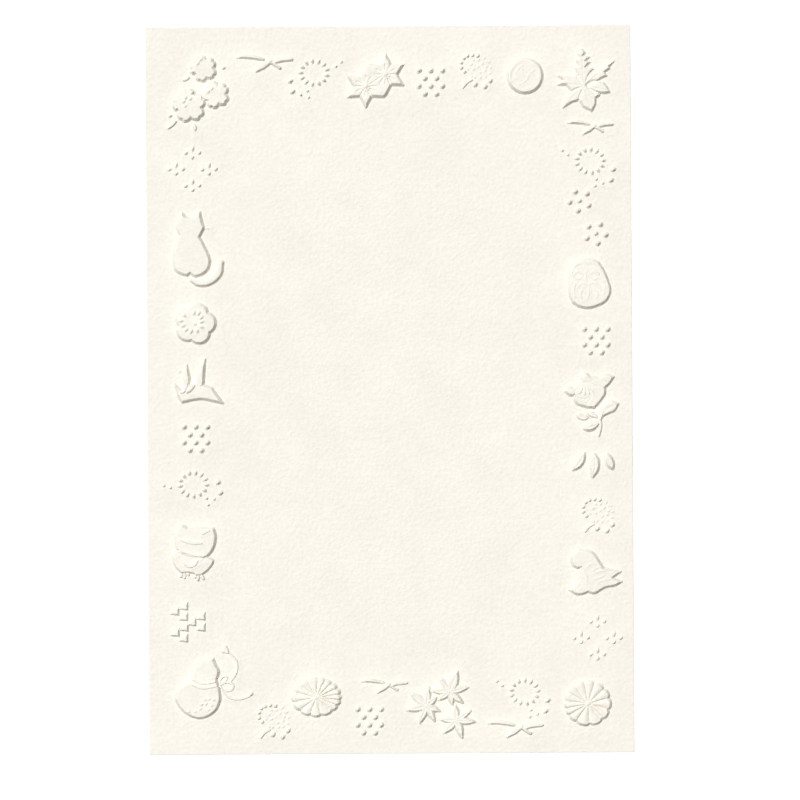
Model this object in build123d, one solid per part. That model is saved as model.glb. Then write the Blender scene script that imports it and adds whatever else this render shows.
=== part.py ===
from build123d import *
import math
import os

# One sheet of thick letter paper, lying flat on its back face, with a border of small ornaments
# pressed up from behind. X runs across the page, Y up the page and Z out of its face; the origin
# is the middle of the back. Every ornament is a raised form with sloping walls, and its hollow on
# the back is the same form one paper thickness lower, so the paper keeps its thickness. Round
# stretches are drawn as curves, and the walls that follow them are cut into a few flat facets.

# The sheet
SHEET_WIDTH = 140.0
SHEET_LENGTH = 210.0
PAPER_THICKNESS = 0.25

# How high each kind of form stands above the page, and how wide its slope is
FORM_RISE = 0.95
FORM_SLOPE = 0.7
UNDER_FORM_RISE = 0.75
LEAF_RISE = 0.82
STROKE_RISE = 0.6
STROKE_SLOPE = 0.45
DOT_RISE_SHARE = 0.41
CREST_RISE = 0.2
CREST_SLOPE = 0.22
RECESS_DEPTH = 0.1
ROOT_DEPTH_SHARE = 0.5
STEEPEST_SLOPE_SHARE = 0.75

# How far a curved wall turns from one flat facet to the next
FACET_TURN_DEGREES = 32
# Where a stroke has its corners along its spine, and how full it is there
STROKE_STATION_SHARES = ((0.26, 0.82), (0.74, 0.82))
LEAF_STATION_SHARES = ((0.2, 0.68), (0.5, 1.0), (0.8, 0.68))
PETAL_STATION_SHARES = ((0.5, 0.72), (0.86, 0.8))
TAIL_STATION_SHARES = ((0.12, 0.7), (0.34, 1.0), (0.56, 1.0), (0.78, 0.9))
CORD_STATION_SHARES = ((0.15, 0.9), (0.5, 1.0), (0.85, 0.9))

# Dots and dashes, measured across their feet
GRID_DOT = 2.25
PETAL_DOT = 2.25
HEART_DOT = 1.75
CHARM_DOT = 1.4
RING_DOT = 1.3
LARGE_SEED = 1.8
SMALL_SEED = 1.2
STAMEN_DOT = 0.8
EYE_DOT = 0.9
CRANE_HEAD_DOT = 1.3
BUD_DOT = 1.5
TOE_DOT = 1.1
DASH_LENGTH = 2.1
DASH_WIDTH = 1.35
CHARM_DASH_LENGTH = 2.3
CHARM_DASH_WIDTH = 1.3

# Widths of the drawn strokes, halfway up their slopes
WING_WIDTH = 1.0
BODY_WIDTH = 1.15
TAIL_WIDTH = 0.9
TWIG_WIDTH = 0.9
STEM_WIDTH = 0.75
CORD_WIDTH = 0.6
TASSEL_WIDTH = 1.0
CAT_TAIL_WIDTH = 1.25
VEIN_WIDTH = 0.4
COMMA_WIDTH = 0.6

# Round motifs
ROUNDEL_RADIUS = 5.0
ROUNDEL_RIM = 1.3
PLUM_PETAL_RADIUS = 3.0
PLUM_PETAL_REACH = 2.9
PLUM_STAMEN_REACH = 3.1
PLUM_STAMENS = 11
DOT_PLUM_REACH = 2.9
STAR_TIP_REACH = 6.15
STAR_NOTCH_REACH = 3.4
DASH_RING_REACH = (3.85, 3.35)
DASH_RING_DASHES = 13
CAMELLIA_HEART_RADIUS = 1.35
MAPLE_NOTCH_SHARE = 0.4

# Points of the drawing, in pixels of the 800 by 800 photograph, y down
SHEET_CENTRE_PIXELS = (389.7, 389.7)
SHEET_SIZE_PIXELS = (484.8, 727.2)
SHEET_TURN_DEGREES = 0.335

CHERRY_CENTRE_PIXELS = (198, 92)
# Each blossom: its centre, the reach and radius of its petals, and the turn of the first
CHERRY_PIXELS = (
    ((204.5, 69), (7.2, 5.8), 38),
    ((216.5, 95.5), (7.6, 6.1), 38),
    ((188.5, 105), (9.3, 7.5), 26),
)
CHERRY_STAMEN_SHARE = 0.75
TWIG_PIXELS = (
    ((181.5, 80), (186, 78.5), (191, 76.5)),
    ((167.5, 129), (172, 125), (176.5, 120.5)),
    ((194, 123.5), (194.5, 127), (194, 131)),
)
BUD_PIXELS = ((223, 67.5), (170.5, 115))

# A flying bird about its shoulder, and the places and sizes of the four
BIRD_WING_PIXELS = (((-32.5, -6.4), (-20, -7), (-6.5, -4.3)), ((5.2, -1), (10, -3.6), (22, -4.3)))
BIRD_BODY_PIXELS = ((-13.4, 7.7), (-6.4, 2.6), (4, -3))
BIRD_TAIL_PIXELS = ((0, -1.5), (4.8, 1), (10.2, 4.3))
BIRD_PLACE_PIXELS = (
    ((270, 64), 1.0),
    ((596, 128), 0.81),
    ((390.5, 686.5), 0.81),
    ((521.5, 730), 0.98),
)
TOP_BIRD, RIGHT_BIRD, MIDDLE_BIRD, LOWER_BIRD = BIRD_PLACE_PIXELS

# The seeds around a ring of dashes, and each ring's centre, side and turn
LARGE_SEED_PIXELS = ((23.5, 8.6), (21.4, 19.2))
SMALL_SEED_PIXELS = ((6.6, 18.4), (13.2, 22.3), (5.4, 25), (-27.4, -10.5), (-22, -6))
DASH_RING_PLACE_PIXELS = (
    ((314, 72), -1, 0),
    ((590.5, 161), 1, 0),
    ((194, 484.5), 1, 24),
    ((524.5, 691.5), 1, 0),
)
TOP_RING, RIGHT_RING, LEFT_RING, LOWER_RING = DASH_RING_PLACE_PIXELS

HEMP_STAR_PIXELS = ((367.6, 88), (387, 75.7))
HEMP_STAR_TIPS = 6

# A fawn-spot block: its first dot, and the four blocks
GRID_PITCH_PIXELS = (11.7, 7.8)
GRID_ROWS = (3, 2, 3, 2)
GRID_PLACE_PIXELS = ((418.6, 70.1), (583.9, 329), (357.4, 709.2), (183.7, 426.9))
TOP_GRID, RIGHT_GRID, LOWER_GRID, LEFT_GRID = GRID_PLACE_PIXELS

# A dotted ball about its centre, with the leaf and seeds beneath it
BALL_RING_PIXELS = (
    (-11.6, 1), (-14.8, -3), (-14.8, -8.2), (-12.4, -12.5), (-8.6, -14.8), (-3.6, -15.6), (1.6, -15),
    (10.2, -4.2), (4, 1.4),
)
BALL_SEED_PIXELS = ((-0.8, 13.6), (9, 15.8), (14.2, 9.8))
BALL_LEAF_PIXELS = ((-14, 17), (-11, 12), (-4, 9))
BALL_PLACE_PIXELS = ((476, 70.5), (598, 514.5), (274.5, 720.5))
TOP_BALL, RIGHT_BALL, LOWER_BALL = BALL_PLACE_PIXELS

ROUNDEL_CENTRE_PIXELS = (525.7, 76.8)
ROUNDEL_COMMA_PIXELS = (
    ((535, 71), (529.6, 75.2), (527.6, 80.4), (523, 84.6)),
    ((523.4, 66), (519.4, 69.4), (517, 73.6)),
)

MAPLE_CENTRE_PIXELS = (586, 84)
MAPLE_OUTLINE_PIXELS = (
    (581, 50.5), (588, 58), (585.5, 60.5), (589, 65.5), (586.8, 68), (590.5, 72.5), (599, 66), (604, 66.5),
    (613.5, 62), (607.5, 71.5), (604.8, 72.5), (604, 78.5), (594.5, 82), (604, 83), (611, 92), (603, 92.8),
    (595.5, 93.5), (598.5, 97), (595, 98), (595.3, 104.5), (592, 111), (583, 106.8), (579, 100), (573, 102),
    (563, 107.5), (568, 98.5), (572, 91), (566, 85.5), (558, 84.5), (564, 79), (560, 75.5), (573, 76.5),
    (579, 69), (575.5, 67), (579.5, 62), (577, 58.5),
)

# Each dot plum: its centre and the turn of its first dot
DOT_PLUM_PLACE_PIXELS = (((579.3, 200.3), 43.5), ((595.5, 233), 64))
UPPER_DOT_PLUM, LOWER_DOT_PLUM = DOT_PLUM_PLACE_PIXELS

DARUMA_CENTRE_PIXELS = (589.5, 285)
DARUMA_OUTLINE_PIXELS = (
    ((586, 259), (599.5, 264.3), (608.5, 279.5), (611.3, 292), (606, 302.3), (597, 306.8), (587.5, 308.5),
     (577, 306), (570.5, 298), (568.3, 284), (570.5, 269), (577, 261.7)),
)
DARUMA_LINE_PIXELS = (
    ((573.5, 274), (578, 271), (583, 273.5)),
    ((589.5, 273.5), (594.5, 270.5), (599, 274)),
    ((586, 272), (585.5, 277), (586.5, 282)),
    ((585.5, 284), (580.5, 283.5), (577, 288.5)),
    ((588.5, 284), (594, 283), (599, 288)),
)
DARUMA_EYE_PIXELS = ((578.2, 277), (594.2, 276.6))

CAMELLIA_CENTRE_PIXELS = (590, 391)
CAMELLIA_OUTLINE_PIXELS = (
    ((614.5, 377), (610.5, 383)),
    ((605.5, 388.5), (605.8, 394), (601, 401)),
    ((594.5, 408), (586, 406.8)),
    ((577, 404.5), (573, 400.5)),
    ((574.5, 397), (569, 396.8)),
    ((563.5, 392), (568, 387.5)),
    ((575, 385.5), (578, 377), (586, 371.5), (598, 373)),
)
CAMELLIA_HEART_PIXELS = (588, 391.5)
CAMELLIA_LEAF_PIXELS = (
    (((599.5, 419.5), (609, 409.8), (619, 403.5)), 7.6),
    (((573.5, 411.5), (585, 414.8), (599, 418.8)), 6.6),
    (((582, 429), (590, 426.3), (599.5, 423)), 6.6),
)
CAMELLIA_STEM_PIXELS = ((599.8, 416), (600, 426), (599, 436))

# Each leaf of a hanging spray: its ends and middle, and its width
SPRAY_CENTRE_PIXELS = (593, 464)
SPRAY_LEAF_PIXELS = (
    (((585.8, 453), (580.6, 463.4), (573, 471.6)), 7.4),
    (((594.8, 452), (596, 464), (593.6, 478)), 8.8),
    (((607.6, 453.4), (611, 462.6), (614.8, 470.8)), 7.6),
)

DUCK_CENTRE_PIXELS = (593, 575)
DUCK_OUTLINE_PIXELS = (
    ((572.6, 564), (571.4, 556.6), (577.4, 550.4), (588, 550.8), (596.5, 556)),
    ((604, 568), (611, 571.3)),
    ((621.5, 571),),
    ((612.5, 578),),
    ((622.5, 580.5), (615, 585.5), (605, 587.3), (594, 593.8)),
    ((588, 592), (580, 595), (571, 593.8)),
    ((566, 590), (573, 586.5), (579, 580)),
    ((581.6, 567), (577, 568)),
)
DUCK_FEATHER_PIXELS = (
    ((588, 577), (597, 573.5), (607, 571.5)),
    ((590, 583), (600, 579), (611, 576.5)),
    ((584, 566), (590, 563.5), (596, 564.5)),
)
DUCK_EYE_PIXELS = (577.5, 557)

# A charm of four small groups, each a stroke over three dots, about the charm's centre
CHARM_GROUP_PIXELS = ((0, -16.4), (-16.4, 0), (16.4, 0), (0, 16.4))
CHARM_DOT_PIXELS = ((-7.6, -0.2), (6, -0.6), (-0.8, 3.8))
CHARM_DASH_PIXELS = (-0.8, -4.6)
CHARM_PLACE_PIXELS = ((598.2, 638.4), (193.3, 169.5))
RIGHT_CHARM, LEFT_CHARM = CHARM_PLACE_PIXELS

GOURD_CENTRE_PIXELS = (201, 690)
GOURD_OUTLINE_PIXELS = (
    ((216.8, 679.5), (219.6, 690), (220.2, 700), (214.5, 711.5), (200, 718), (185, 712), (176, 698.5),
     (180.5, 687.5)),
    ((191.8, 680.5), (193.6, 670), (201, 661.5)),
    ((213.8, 656), (215.3, 664), (218.8, 671)),
)
GOURD_BAND_PIXELS = (
    ((193.5, 679.5), (203, 683), (215.5, 681.5)),
    ((192.5, 684.5), (203, 687.5), (216, 686)),
)
GOURD_CORD_PIXELS = (
    ((216, 681.5), (226.5, 679.8), (235, 686)),
    ((235, 684.5), (228, 691), (216, 689)),
    ((229, 682), (236, 671.5), (237.3, 662), (229, 653)),
    ((222, 690), (232, 698), (242, 699), (250, 696)),
)
GOURD_TASSEL_PIXELS = (
    ((230, 654), (227.5, 650.5), (224, 646.5)),
    ((248.5, 696.5), (252, 694.5), (255.5, 691.5)),
)

# Each chrysanthemum: its centre, its half width and height, its petals and the turn of the first
CHRYSANTHEMUM_PLACE_PIXELS = (
    ((316.5, 697.5), (24, 19), 14, 8),
    ((587.5, 703), (23, 21.8), 12, 20),
)
LEFT_CHRYSANTHEMUM, RIGHT_CHRYSANTHEMUM = CHRYSANTHEMUM_PLACE_PIXELS
PETAL_WIDTH_SHARE = 1.05
PETAL_SPINE_SHARES = (0.16, 0.64, 1.0)

# Each small maple leaf: its centre and its tips in turn
SMALL_MAPLE_PIXELS = (
    ((450, 691), ((457.5, 671.5), (469, 687), (465, 702.5), (453, 705.5), (439, 700.5), (431.5, 689.5),
                  (440, 673.5))),
    ((426, 706), ((429, 687), (438, 696.5), (440, 711), (435, 721.5), (419.5, 723.5), (407.5, 711),
                  (412, 694))),
    ((457, 720), ((456, 704.5), (472.5, 709), (475.5, 721), (462, 738.5), (443.5, 733), (440.5, 719.5))),
)

CAT_CENTRE_PIXELS = (192, 247)
CAT_OUTLINE_PIXELS = (
    ((182, 212), (186, 217.5), (190.5, 219), (195, 217.8)),
    ((199.8, 212.5), (202.6, 225)),
    ((204.3, 228), (201, 235)),
    ((199.3, 237.8), (204.3, 247), (210, 262), (206.5, 272), (195, 277.3)),
    ((190.5, 274),),
    ((187, 276.3), (177, 272.3), (173.5, 262), (177.8, 241)),
    ((180, 236), (177, 228.5), (180, 219)),
)
CAT_TAIL_PIXELS = ((191, 281), (198, 284), (206, 283.6), (213.5, 280), (219, 273.5), (221.3, 263.5))
CAT_WHISKER_PIXELS = ((203, 229), (206, 228.6), (210, 229))

PLUM_CENTRE_PIXELS = (195.4, 324)
PLUM_TURN_DEGREES = 5

CRANE_CENTRE_PIXELS = (198, 394)
CRANE_BODY_PIXELS = (
    ((176, 384.5),), ((183.5, 391.5),), ((188.5, 386),), ((205, 385),), ((212.6, 388),),
    ((223.6, 403.4), (203, 399.2)), ((183, 402.4),), ((178.6, 395),),
)
CRANE_WING_PIXELS = (
    ((205.8, 359), (204.2, 386), (191.5, 390.5)),
    ((187.6, 365), (190.8, 378.6), (189.2, 388), (185.2, 391.5), (184.8, 378)),
)
CRANE_HEAD_PIXELS = (180.4, 371.8)

SPARROW_CENTRE_PIXELS = (195, 545)
SPARROW_HOOD_PIXELS = (
    ((177.5, 527.5), (182.5, 523.3)),
    ((188.5, 528), (198, 526.8), (207, 527.5)),
    ((214.8, 525.8), (217.5, 534), (216, 545), (211.5, 554)),
    ((204, 559.5), (193, 557), (183, 553.5)),
    ((176, 549.5), (173.8, 540)),
)
SPARROW_BELLY_PIXELS = (
    ((176, 550), (192, 554), (206, 556.5), (214.3, 560.5), (210.5, 568), (202, 574.8), (192, 575.5),
     (181, 572.5), (173, 564.5), (171, 556)),
)
SPARROW_LINE_PIXELS = (
    ((180, 539.5), (190, 543), (203, 543.5)),
    ((184, 563), (191, 565.5), (198, 561.5)),
)
SPARROW_TOE_PIXELS = ((179.5, 574.8), (184, 576.8), (197.5, 578.8), (202.3, 577))

# Small three-cornered scales: the corners of one about its mark, and the nine marks
SCALE_CORNER_PIXELS = ((-6.3, 1.8), (2, -5), (2, 2.8))
SCALE_CENTRE_PIXELS = (190, 623.7)
SCALE_PIXELS = ((186.4, 608), (177.5, 613), (186.3, 618.6), (203.8, 618), (194.6, 623.7), (186.9, 629),
                (203.8, 629), (177.9, 634.3), (186.4, 639.8))

# Millimetres of drawing for one pixel of the photograph
PIXEL = SHEET_WIDTH / SHEET_SIZE_PIXELS[0]
TURN = math.radians(SHEET_TURN_DEGREES)
ROOT_DEPTH = PAPER_THICKNESS * ROOT_DEPTH_SHARE


def turned(pixel):
    """A step in pixels, straightened with the sheet and with y up."""
    x, y = pixel
    return Vector(x * math.cos(TURN) - y * math.sin(TURN), -y * math.cos(TURN) - x * math.sin(TURN))


def place(pixel):
    """The spot on the sheet of a motif's centre: it moves with the sheet's edges."""
    step = turned((pixel[0] - SHEET_CENTRE_PIXELS[0], pixel[1] - SHEET_CENTRE_PIXELS[1]))
    return Vector(step.X * SHEET_WIDTH / SHEET_SIZE_PIXELS[0], step.Y * SHEET_LENGTH / SHEET_SIZE_PIXELS[1])


def drawn(centre, pixel):
    """A point of a motif, drawn about its centre, on the sheet."""
    return place(centre) + turned((pixel[0] - centre[0], pixel[1] - centre[1])) * PIXEL


def about(centre, step, scale=1):
    """The pixel that lies a step away from a centre."""
    return (centre[0] + step[0] * scale, centre[1] + step[1] * scale)


def at_level(points, level):
    return [Vector(p.X, p.Y, level) for p in points]


def facets(curve):
    """The first corners of the flat facets that follow a curve, as many as its turning needs."""
    headings = [curve % (step / 8) for step in range(9)]
    turning = sum(one.get_angle(other) for one, other in zip(headings, headings[1:]))
    count = max(1, round(turning / FACET_TURN_DEGREES))
    return [curve @ (step / count) for step in range(count)]


def outline(centre, runs):
    """The corners of a closed outline of runs, straight or curved: each ends where the next one starts."""
    runs = [[drawn(centre, pixel) for pixel in run] for run in runs]
    if len(runs) == 1:
        return facets(Spline(*runs[0], periodic=True))
    corners = []
    for run, following in zip(runs, runs[1:] + runs[:1]):
        points = run + following[:1]
        corners += points[:1] if len(points) == 2 else facets(Spline(*points))
    return corners


def polygon(centre, pixels):
    return [drawn(centre, pixel) for pixel in pixels]


def circle(spot, radius):
    """The corners of a round outline, cut into facets."""
    count = round(360 / FACET_TURN_DEGREES)
    return [spot + Vector(radius, 0).rotate(Axis.Z, 360 * step / count) for step in range(count)]


def grown(corners, amount):
    """The corners of an outline after each of its sides has moved outwards by an amount."""
    area = sum(a.X * b.Y - b.X * a.Y for a, b in zip(corners, corners[1:] + corners[:1]))
    outwards = -90 if area > 0 else 90
    moved = []
    for before, here, after in zip(corners[-1:] + corners[:-1], corners, corners[1:] + corners[:1]):
        one = (here - before).normalized().rotate(Axis.Z, outwards)
        other = (after - here).normalized().rotate(Axis.Z, outwards)
        moved.append(here + (one + other) * (amount / (1 + one.dot(other))))
    return moved


def facet(corners):
    return Face(Wire.make_polygon(corners, close=True))


def faceted(lower, upper):
    """A solid between two outlines with the same number of corners; its walls are flat."""
    walls = []
    for step in range(len(lower)):
        walls.append(facet([lower[step - 1], lower[step], upper[step], upper[step - 1]]))
    return Solid(Shell([facet(lower), facet(upper)] + walls))


def pressed(corners, rise=FORM_RISE, slope=FORM_SLOPE, base=0):
    """A raised form with sloping walls; its corners are those of the outline halfway up the slope."""
    face = PAPER_THICKNESS + base
    root = at_level(grown(corners, slope / 2 + slope * ROOT_DEPTH / rise), face - ROOT_DEPTH)
    crown = at_level(grown(corners, -slope / 2), face + rise)
    return faceted(root, crown)


def stroke(centre, pixels, width, rise=STROKE_RISE, slope=STROKE_SLOPE, base=0,
           stations=STROKE_STATION_SHARES):
    """A pointed stroke along a curve through a few points, fullest between its ends."""
    spine = Spline(*[drawn(centre, pixel) for pixel in pixels])
    left, right = [], []
    for along, fullness in stations:
        side = (spine % along).rotate(Axis.Z, 90) * (width / 2 * fullness)
        left.append(spine @ along + side)
        right.append(spine @ along - side)
    corners = [spine @ 0] + left + [spine @ 1] + right[::-1]
    return pressed(corners, rise, min(slope, width * STEEPEST_SLOPE_SHARE), base)


def crest_line(centre, pixels, width, base):
    """A fine ridge that stands on a form."""
    return stroke(centre, pixels, width, CREST_RISE, CREST_SLOPE, base)


def pyramid(spot, corners, rise, base=0):
    """A small pointed dot over its foot, which is a few corners about a spot."""
    face = PAPER_THICKNESS + base
    share = (rise + ROOT_DEPTH) / rise
    foot = at_level([spot + corner * share for corner in corners], face - ROOT_DEPTH)
    point = Vector(spot.X, spot.Y, face + rise)
    sides = [facet([foot[step - 1], foot[step], point]) for step in range(len(foot))]
    return Solid(Shell([facet(foot)] + sides))


def foot_corners(size, sides, length=None, heading_degrees=0):
    """The corners of a dot's foot, or of a dash that is longer along its heading."""
    reach = (length or size) / 2
    corners = []
    for step in range(sides):
        angle = math.tau * step / sides
        corner = Vector(reach * math.cos(angle), size / 2 * math.sin(angle))
        corners.append(corner.rotate(Axis.Z, heading_degrees))
    return corners


def dot(centre, pixel, size, sides=4):
    return pyramid(drawn(centre, pixel), foot_corners(size, sides), size * DOT_RISE_SHARE)


def crest_dot(centre, pixel, size, sides):
    """A small dot that stands on a form."""
    return pyramid(drawn(centre, pixel), foot_corners(size, sides), CREST_RISE, FORM_RISE)


def blossom(spot, reach, radius, first_degrees):
    """The outline of five round petals, each an arc from one notch to the next."""
    half_turn = 180 / 5
    to_notch = math.degrees(math.acos(reach * math.sin(math.radians(half_turn)) / radius))
    half_arc = 90 + half_turn - to_notch
    count = round(2 * half_arc / FACET_TURN_DEGREES)
    corners = []
    for petal in range(5):
        heading = first_degrees + 2 * half_turn * petal
        middle = spot + Vector(reach, 0).rotate(Axis.Z, heading)
        for step in range(count):
            turn = heading - half_arc + 2 * half_arc * step / count
            corners.append(middle + Vector(radius, 0).rotate(Axis.Z, turn))
    return corners


def stamen_ring(spot, reach, count):
    """Small dots that stand on a blossom, about one in its middle."""
    stamens = [pyramid(spot, foot_corners(EYE_DOT, 4), CREST_RISE, FORM_RISE)]
    for stamen in range(count):
        step = Vector(reach, 0).rotate(Axis.Z, 360 * stamen / count)
        stamens.append(pyramid(spot + step, foot_corners(STAMEN_DOT, 4), CREST_RISE, FORM_RISE))
    return stamens


def cherry_spray():
    centre = CHERRY_CENTRE_PIXELS
    forms, stamens = [], []
    for middle, (reach, radius), first in CHERRY_PIXELS:
        spot = drawn(centre, middle)
        forms.append(pressed(blossom(spot, reach * PIXEL, radius * PIXEL, first)))
        stamens += stamen_ring(spot, reach * PIXEL * CHERRY_STAMEN_SHARE, 5)
    forms += [stroke(centre, twig, TWIG_WIDTH) for twig in TWIG_PIXELS]
    forms += [dot(centre, bud, BUD_DOT, 6) for bud in BUD_PIXELS]
    return forms, stamens


def bird(shoulder, size):
    def limb(pixels, width):
        return stroke(shoulder, [about(shoulder, p, size) for p in pixels], width * size)

    wings = [limb(wing, WING_WIDTH) for wing in BIRD_WING_PIXELS]
    return wings + [limb(BIRD_BODY_PIXELS, BODY_WIDTH), limb(BIRD_TAIL_PIXELS, TAIL_WIDTH)], []


def dash_ring(centre, side, turn_degrees):
    """A ring of dashes that point at its middle, with loose seeds about it."""
    spot = place(centre)
    marks = []
    for dash in range(DASH_RING_DASHES):
        heading = 360 * (dash + 0.5) / DASH_RING_DASHES
        angle = math.radians(heading)
        step = Vector(DASH_RING_REACH[0] * math.cos(angle), DASH_RING_REACH[1] * math.sin(angle))
        foot = foot_corners(DASH_WIDTH, 4, DASH_LENGTH, heading)
        marks.append(pyramid(spot + step, foot, DASH_WIDTH * DOT_RISE_SHARE))
    for seeds, size in ((LARGE_SEED_PIXELS, LARGE_SEED), (SMALL_SEED_PIXELS, SMALL_SEED)):
        for x, y in seeds:
            step = turned((x * side, y)).rotate(Axis.Z, turn_degrees) * PIXEL
            marks.append(pyramid(spot + step, foot_corners(size, 4), size * DOT_RISE_SHARE))
    return marks, []


def hemp_stars():
    """Two six-pointed stars that share two of their tips."""
    forms = []
    for middle in HEMP_STAR_PIXELS:
        spot = drawn(HEMP_STAR_PIXELS[0], middle)
        corners = []
        for step in range(2 * HEMP_STAR_TIPS):
            reach = STAR_NOTCH_REACH if step % 2 else STAR_TIP_REACH
            corners.append(spot + Vector(reach, 0).rotate(Axis.Z, 90 + 180 * step / HEMP_STAR_TIPS))
        forms.append(pressed(corners))
    return forms, []


def fawn_spots(first):
    dots = []
    for row, count in enumerate(GRID_ROWS):
        for column in range(count):
            indent = (GRID_ROWS[0] - count) / 2
            step = ((column + indent) * GRID_PITCH_PIXELS[0], row * GRID_PITCH_PIXELS[1])
            dots.append(dot(first, about(first, step), GRID_DOT))
    return dots, []


def dotted_ball(centre):
    dots = [dot(centre, about(centre, p), RING_DOT) for p in BALL_RING_PIXELS]
    dots += [dot(centre, about(centre, p), LARGE_SEED) for p in BALL_SEED_PIXELS]
    leaf_mark = stroke(centre, [about(centre, p) for p in BALL_LEAF_PIXELS], BODY_WIDTH)
    return dots + [leaf_mark], []


def roundel():
    """A round boss with a rim, and two commas standing in its recess."""
    spot = place(ROUNDEL_CENTRE_PIXELS)
    floor = FORM_RISE - RECESS_DEPTH
    inside = circle(spot, ROUNDEL_RADIUS - ROUNDEL_RIM)
    bottom = at_level(grown(inside, -CREST_SLOPE), PAPER_THICKNESS + floor)
    top = at_level(grown(inside, CREST_SLOPE), PAPER_THICKNESS + FORM_RISE + RECESS_DEPTH)
    boss = pressed(circle(spot, ROUNDEL_RADIUS)) - faceted(bottom, top)
    commas = [crest_line(ROUNDEL_CENTRE_PIXELS, p, COMMA_WIDTH, floor) for p in ROUNDEL_COMMA_PIXELS]
    return [boss], commas


def maple_leaf():
    return [pressed(polygon(MAPLE_CENTRE_PIXELS, MAPLE_OUTLINE_PIXELS), LEAF_RISE, STROKE_SLOPE)], []


def dot_plum(centre, first_degrees):
    """Five dots about a smaller one."""
    spot = place(centre)
    dots = [pyramid(spot, foot_corners(HEART_DOT, 6), HEART_DOT * DOT_RISE_SHARE)]
    for petal in range(5):
        step = Vector(DOT_PLUM_REACH, 0).rotate(Axis.Z, first_degrees + 360 * petal / 5)
        dots.append(pyramid(spot + step, foot_corners(PETAL_DOT, 6), PETAL_DOT * DOT_RISE_SHARE))
    return dots, []


def daruma():
    centre = DARUMA_CENTRE_PIXELS
    lines = [crest_line(centre, p, VEIN_WIDTH, FORM_RISE) for p in DARUMA_LINE_PIXELS]
    eyes = [crest_dot(centre, p, EYE_DOT, 6) for p in DARUMA_EYE_PIXELS]
    return [pressed(outline(centre, DARUMA_OUTLINE_PIXELS))], lines + eyes


def leaf(centre, pixels, width_pixels):
    width = width_pixels * PIXEL
    return stroke(centre, pixels, width, FORM_RISE, FORM_SLOPE, stations=LEAF_STATION_SHARES)


def camellia():
    centre = CAMELLIA_CENTRE_PIXELS
    forms = [pressed(outline(centre, CAMELLIA_OUTLINE_PIXELS))]
    forms += [leaf(centre, pixels, width) for pixels, width in CAMELLIA_LEAF_PIXELS]
    forms.append(stroke(centre, CAMELLIA_STEM_PIXELS, STEM_WIDTH))
    heart = circle(drawn(centre, CAMELLIA_HEART_PIXELS), CAMELLIA_HEART_RADIUS)
    return forms, [pressed(heart, CREST_RISE, CREST_SLOPE, FORM_RISE)]


def leaf_spray():
    return [leaf(SPRAY_CENTRE_PIXELS, pixels, width) for pixels, width in SPRAY_LEAF_PIXELS], []


def duck():
    centre = DUCK_CENTRE_PIXELS
    feathers = [crest_line(centre, p, VEIN_WIDTH, FORM_RISE) for p in DUCK_FEATHER_PIXELS]
    eye = crest_dot(centre, DUCK_EYE_PIXELS, EYE_DOT, 4)
    return [pressed(outline(centre, DUCK_OUTLINE_PIXELS))], feathers + [eye]


def charm(centre):
    marks = []
    upright = foot_corners(CHARM_DASH_WIDTH, 4, CHARM_DASH_LENGTH, 90)
    for group in CHARM_GROUP_PIXELS:
        middle = about(centre, group)
        marks += [dot(centre, about(middle, p), CHARM_DOT) for p in CHARM_DOT_PIXELS]
        dash = drawn(centre, about(middle, CHARM_DASH_PIXELS))
        marks.append(pyramid(dash, upright, CHARM_DASH_WIDTH * DOT_RISE_SHARE))
    return marks, []


def gourd():
    centre = GOURD_CENTRE_PIXELS
    forms = [pressed(outline(centre, GOURD_OUTLINE_PIXELS))]
    forms += [stroke(centre, cord, CORD_WIDTH, stations=CORD_STATION_SHARES) for cord in GOURD_CORD_PIXELS]
    forms += [stroke(centre, tassel, TASSEL_WIDTH) for tassel in GOURD_TASSEL_PIXELS]
    return forms, [crest_line(centre, p, VEIN_WIDTH, FORM_RISE) for p in GOURD_BAND_PIXELS]


def chrysanthemum(centre, half_size, petals, first_degrees):
    """Petals that spread from a small middle, wide near their ends."""
    wide, high = half_size
    forms = []
    for petal in range(petals):
        angle = math.radians(first_degrees + 360 * petal / petals)
        reach = (wide * math.cos(angle), -high * math.sin(angle))
        spine = [about(centre, reach, share) for share in PETAL_SPINE_SHARES]
        room = math.tau * PETAL_SPINE_SHARES[1] * math.hypot(*reach) / petals * PIXEL
        width = room * PETAL_WIDTH_SHARE
        forms.append(stroke(centre, spine, width, FORM_RISE, FORM_SLOPE, stations=PETAL_STATION_SHARES))
    return forms, []


def small_maples():
    """Three fallen leaves, each with a notch between its tips."""
    home = SMALL_MAPLE_PIXELS[0][0]
    forms = []
    for middle, tips in SMALL_MAPLE_PIXELS:
        corners = []
        for tip, following in zip(tips, tips[1:] + tips[:1]):
            between = ((tip[0] + following[0]) / 2 - middle[0], (tip[1] + following[1]) / 2 - middle[1])
            corners += [tip, about(middle, between, MAPLE_NOTCH_SHARE)]
        forms.append(pressed(polygon(home, corners), LEAF_RISE, STROKE_SLOPE))
    return forms, []


def cat():
    centre = CAT_CENTRE_PIXELS
    tail = stroke(centre, CAT_TAIL_PIXELS, CAT_TAIL_WIDTH, stations=TAIL_STATION_SHARES)
    whisker = stroke(centre, CAT_WHISKER_PIXELS, CORD_WIDTH)
    return [pressed(outline(centre, CAT_OUTLINE_PIXELS)), tail, whisker], []


def plum():
    spot = place(PLUM_CENTRE_PIXELS)
    petals = blossom(spot, PLUM_PETAL_REACH, PLUM_PETAL_RADIUS, PLUM_TURN_DEGREES)
    return [pressed(petals)], stamen_ring(spot, PLUM_STAMEN_REACH, PLUM_STAMENS)


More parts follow.
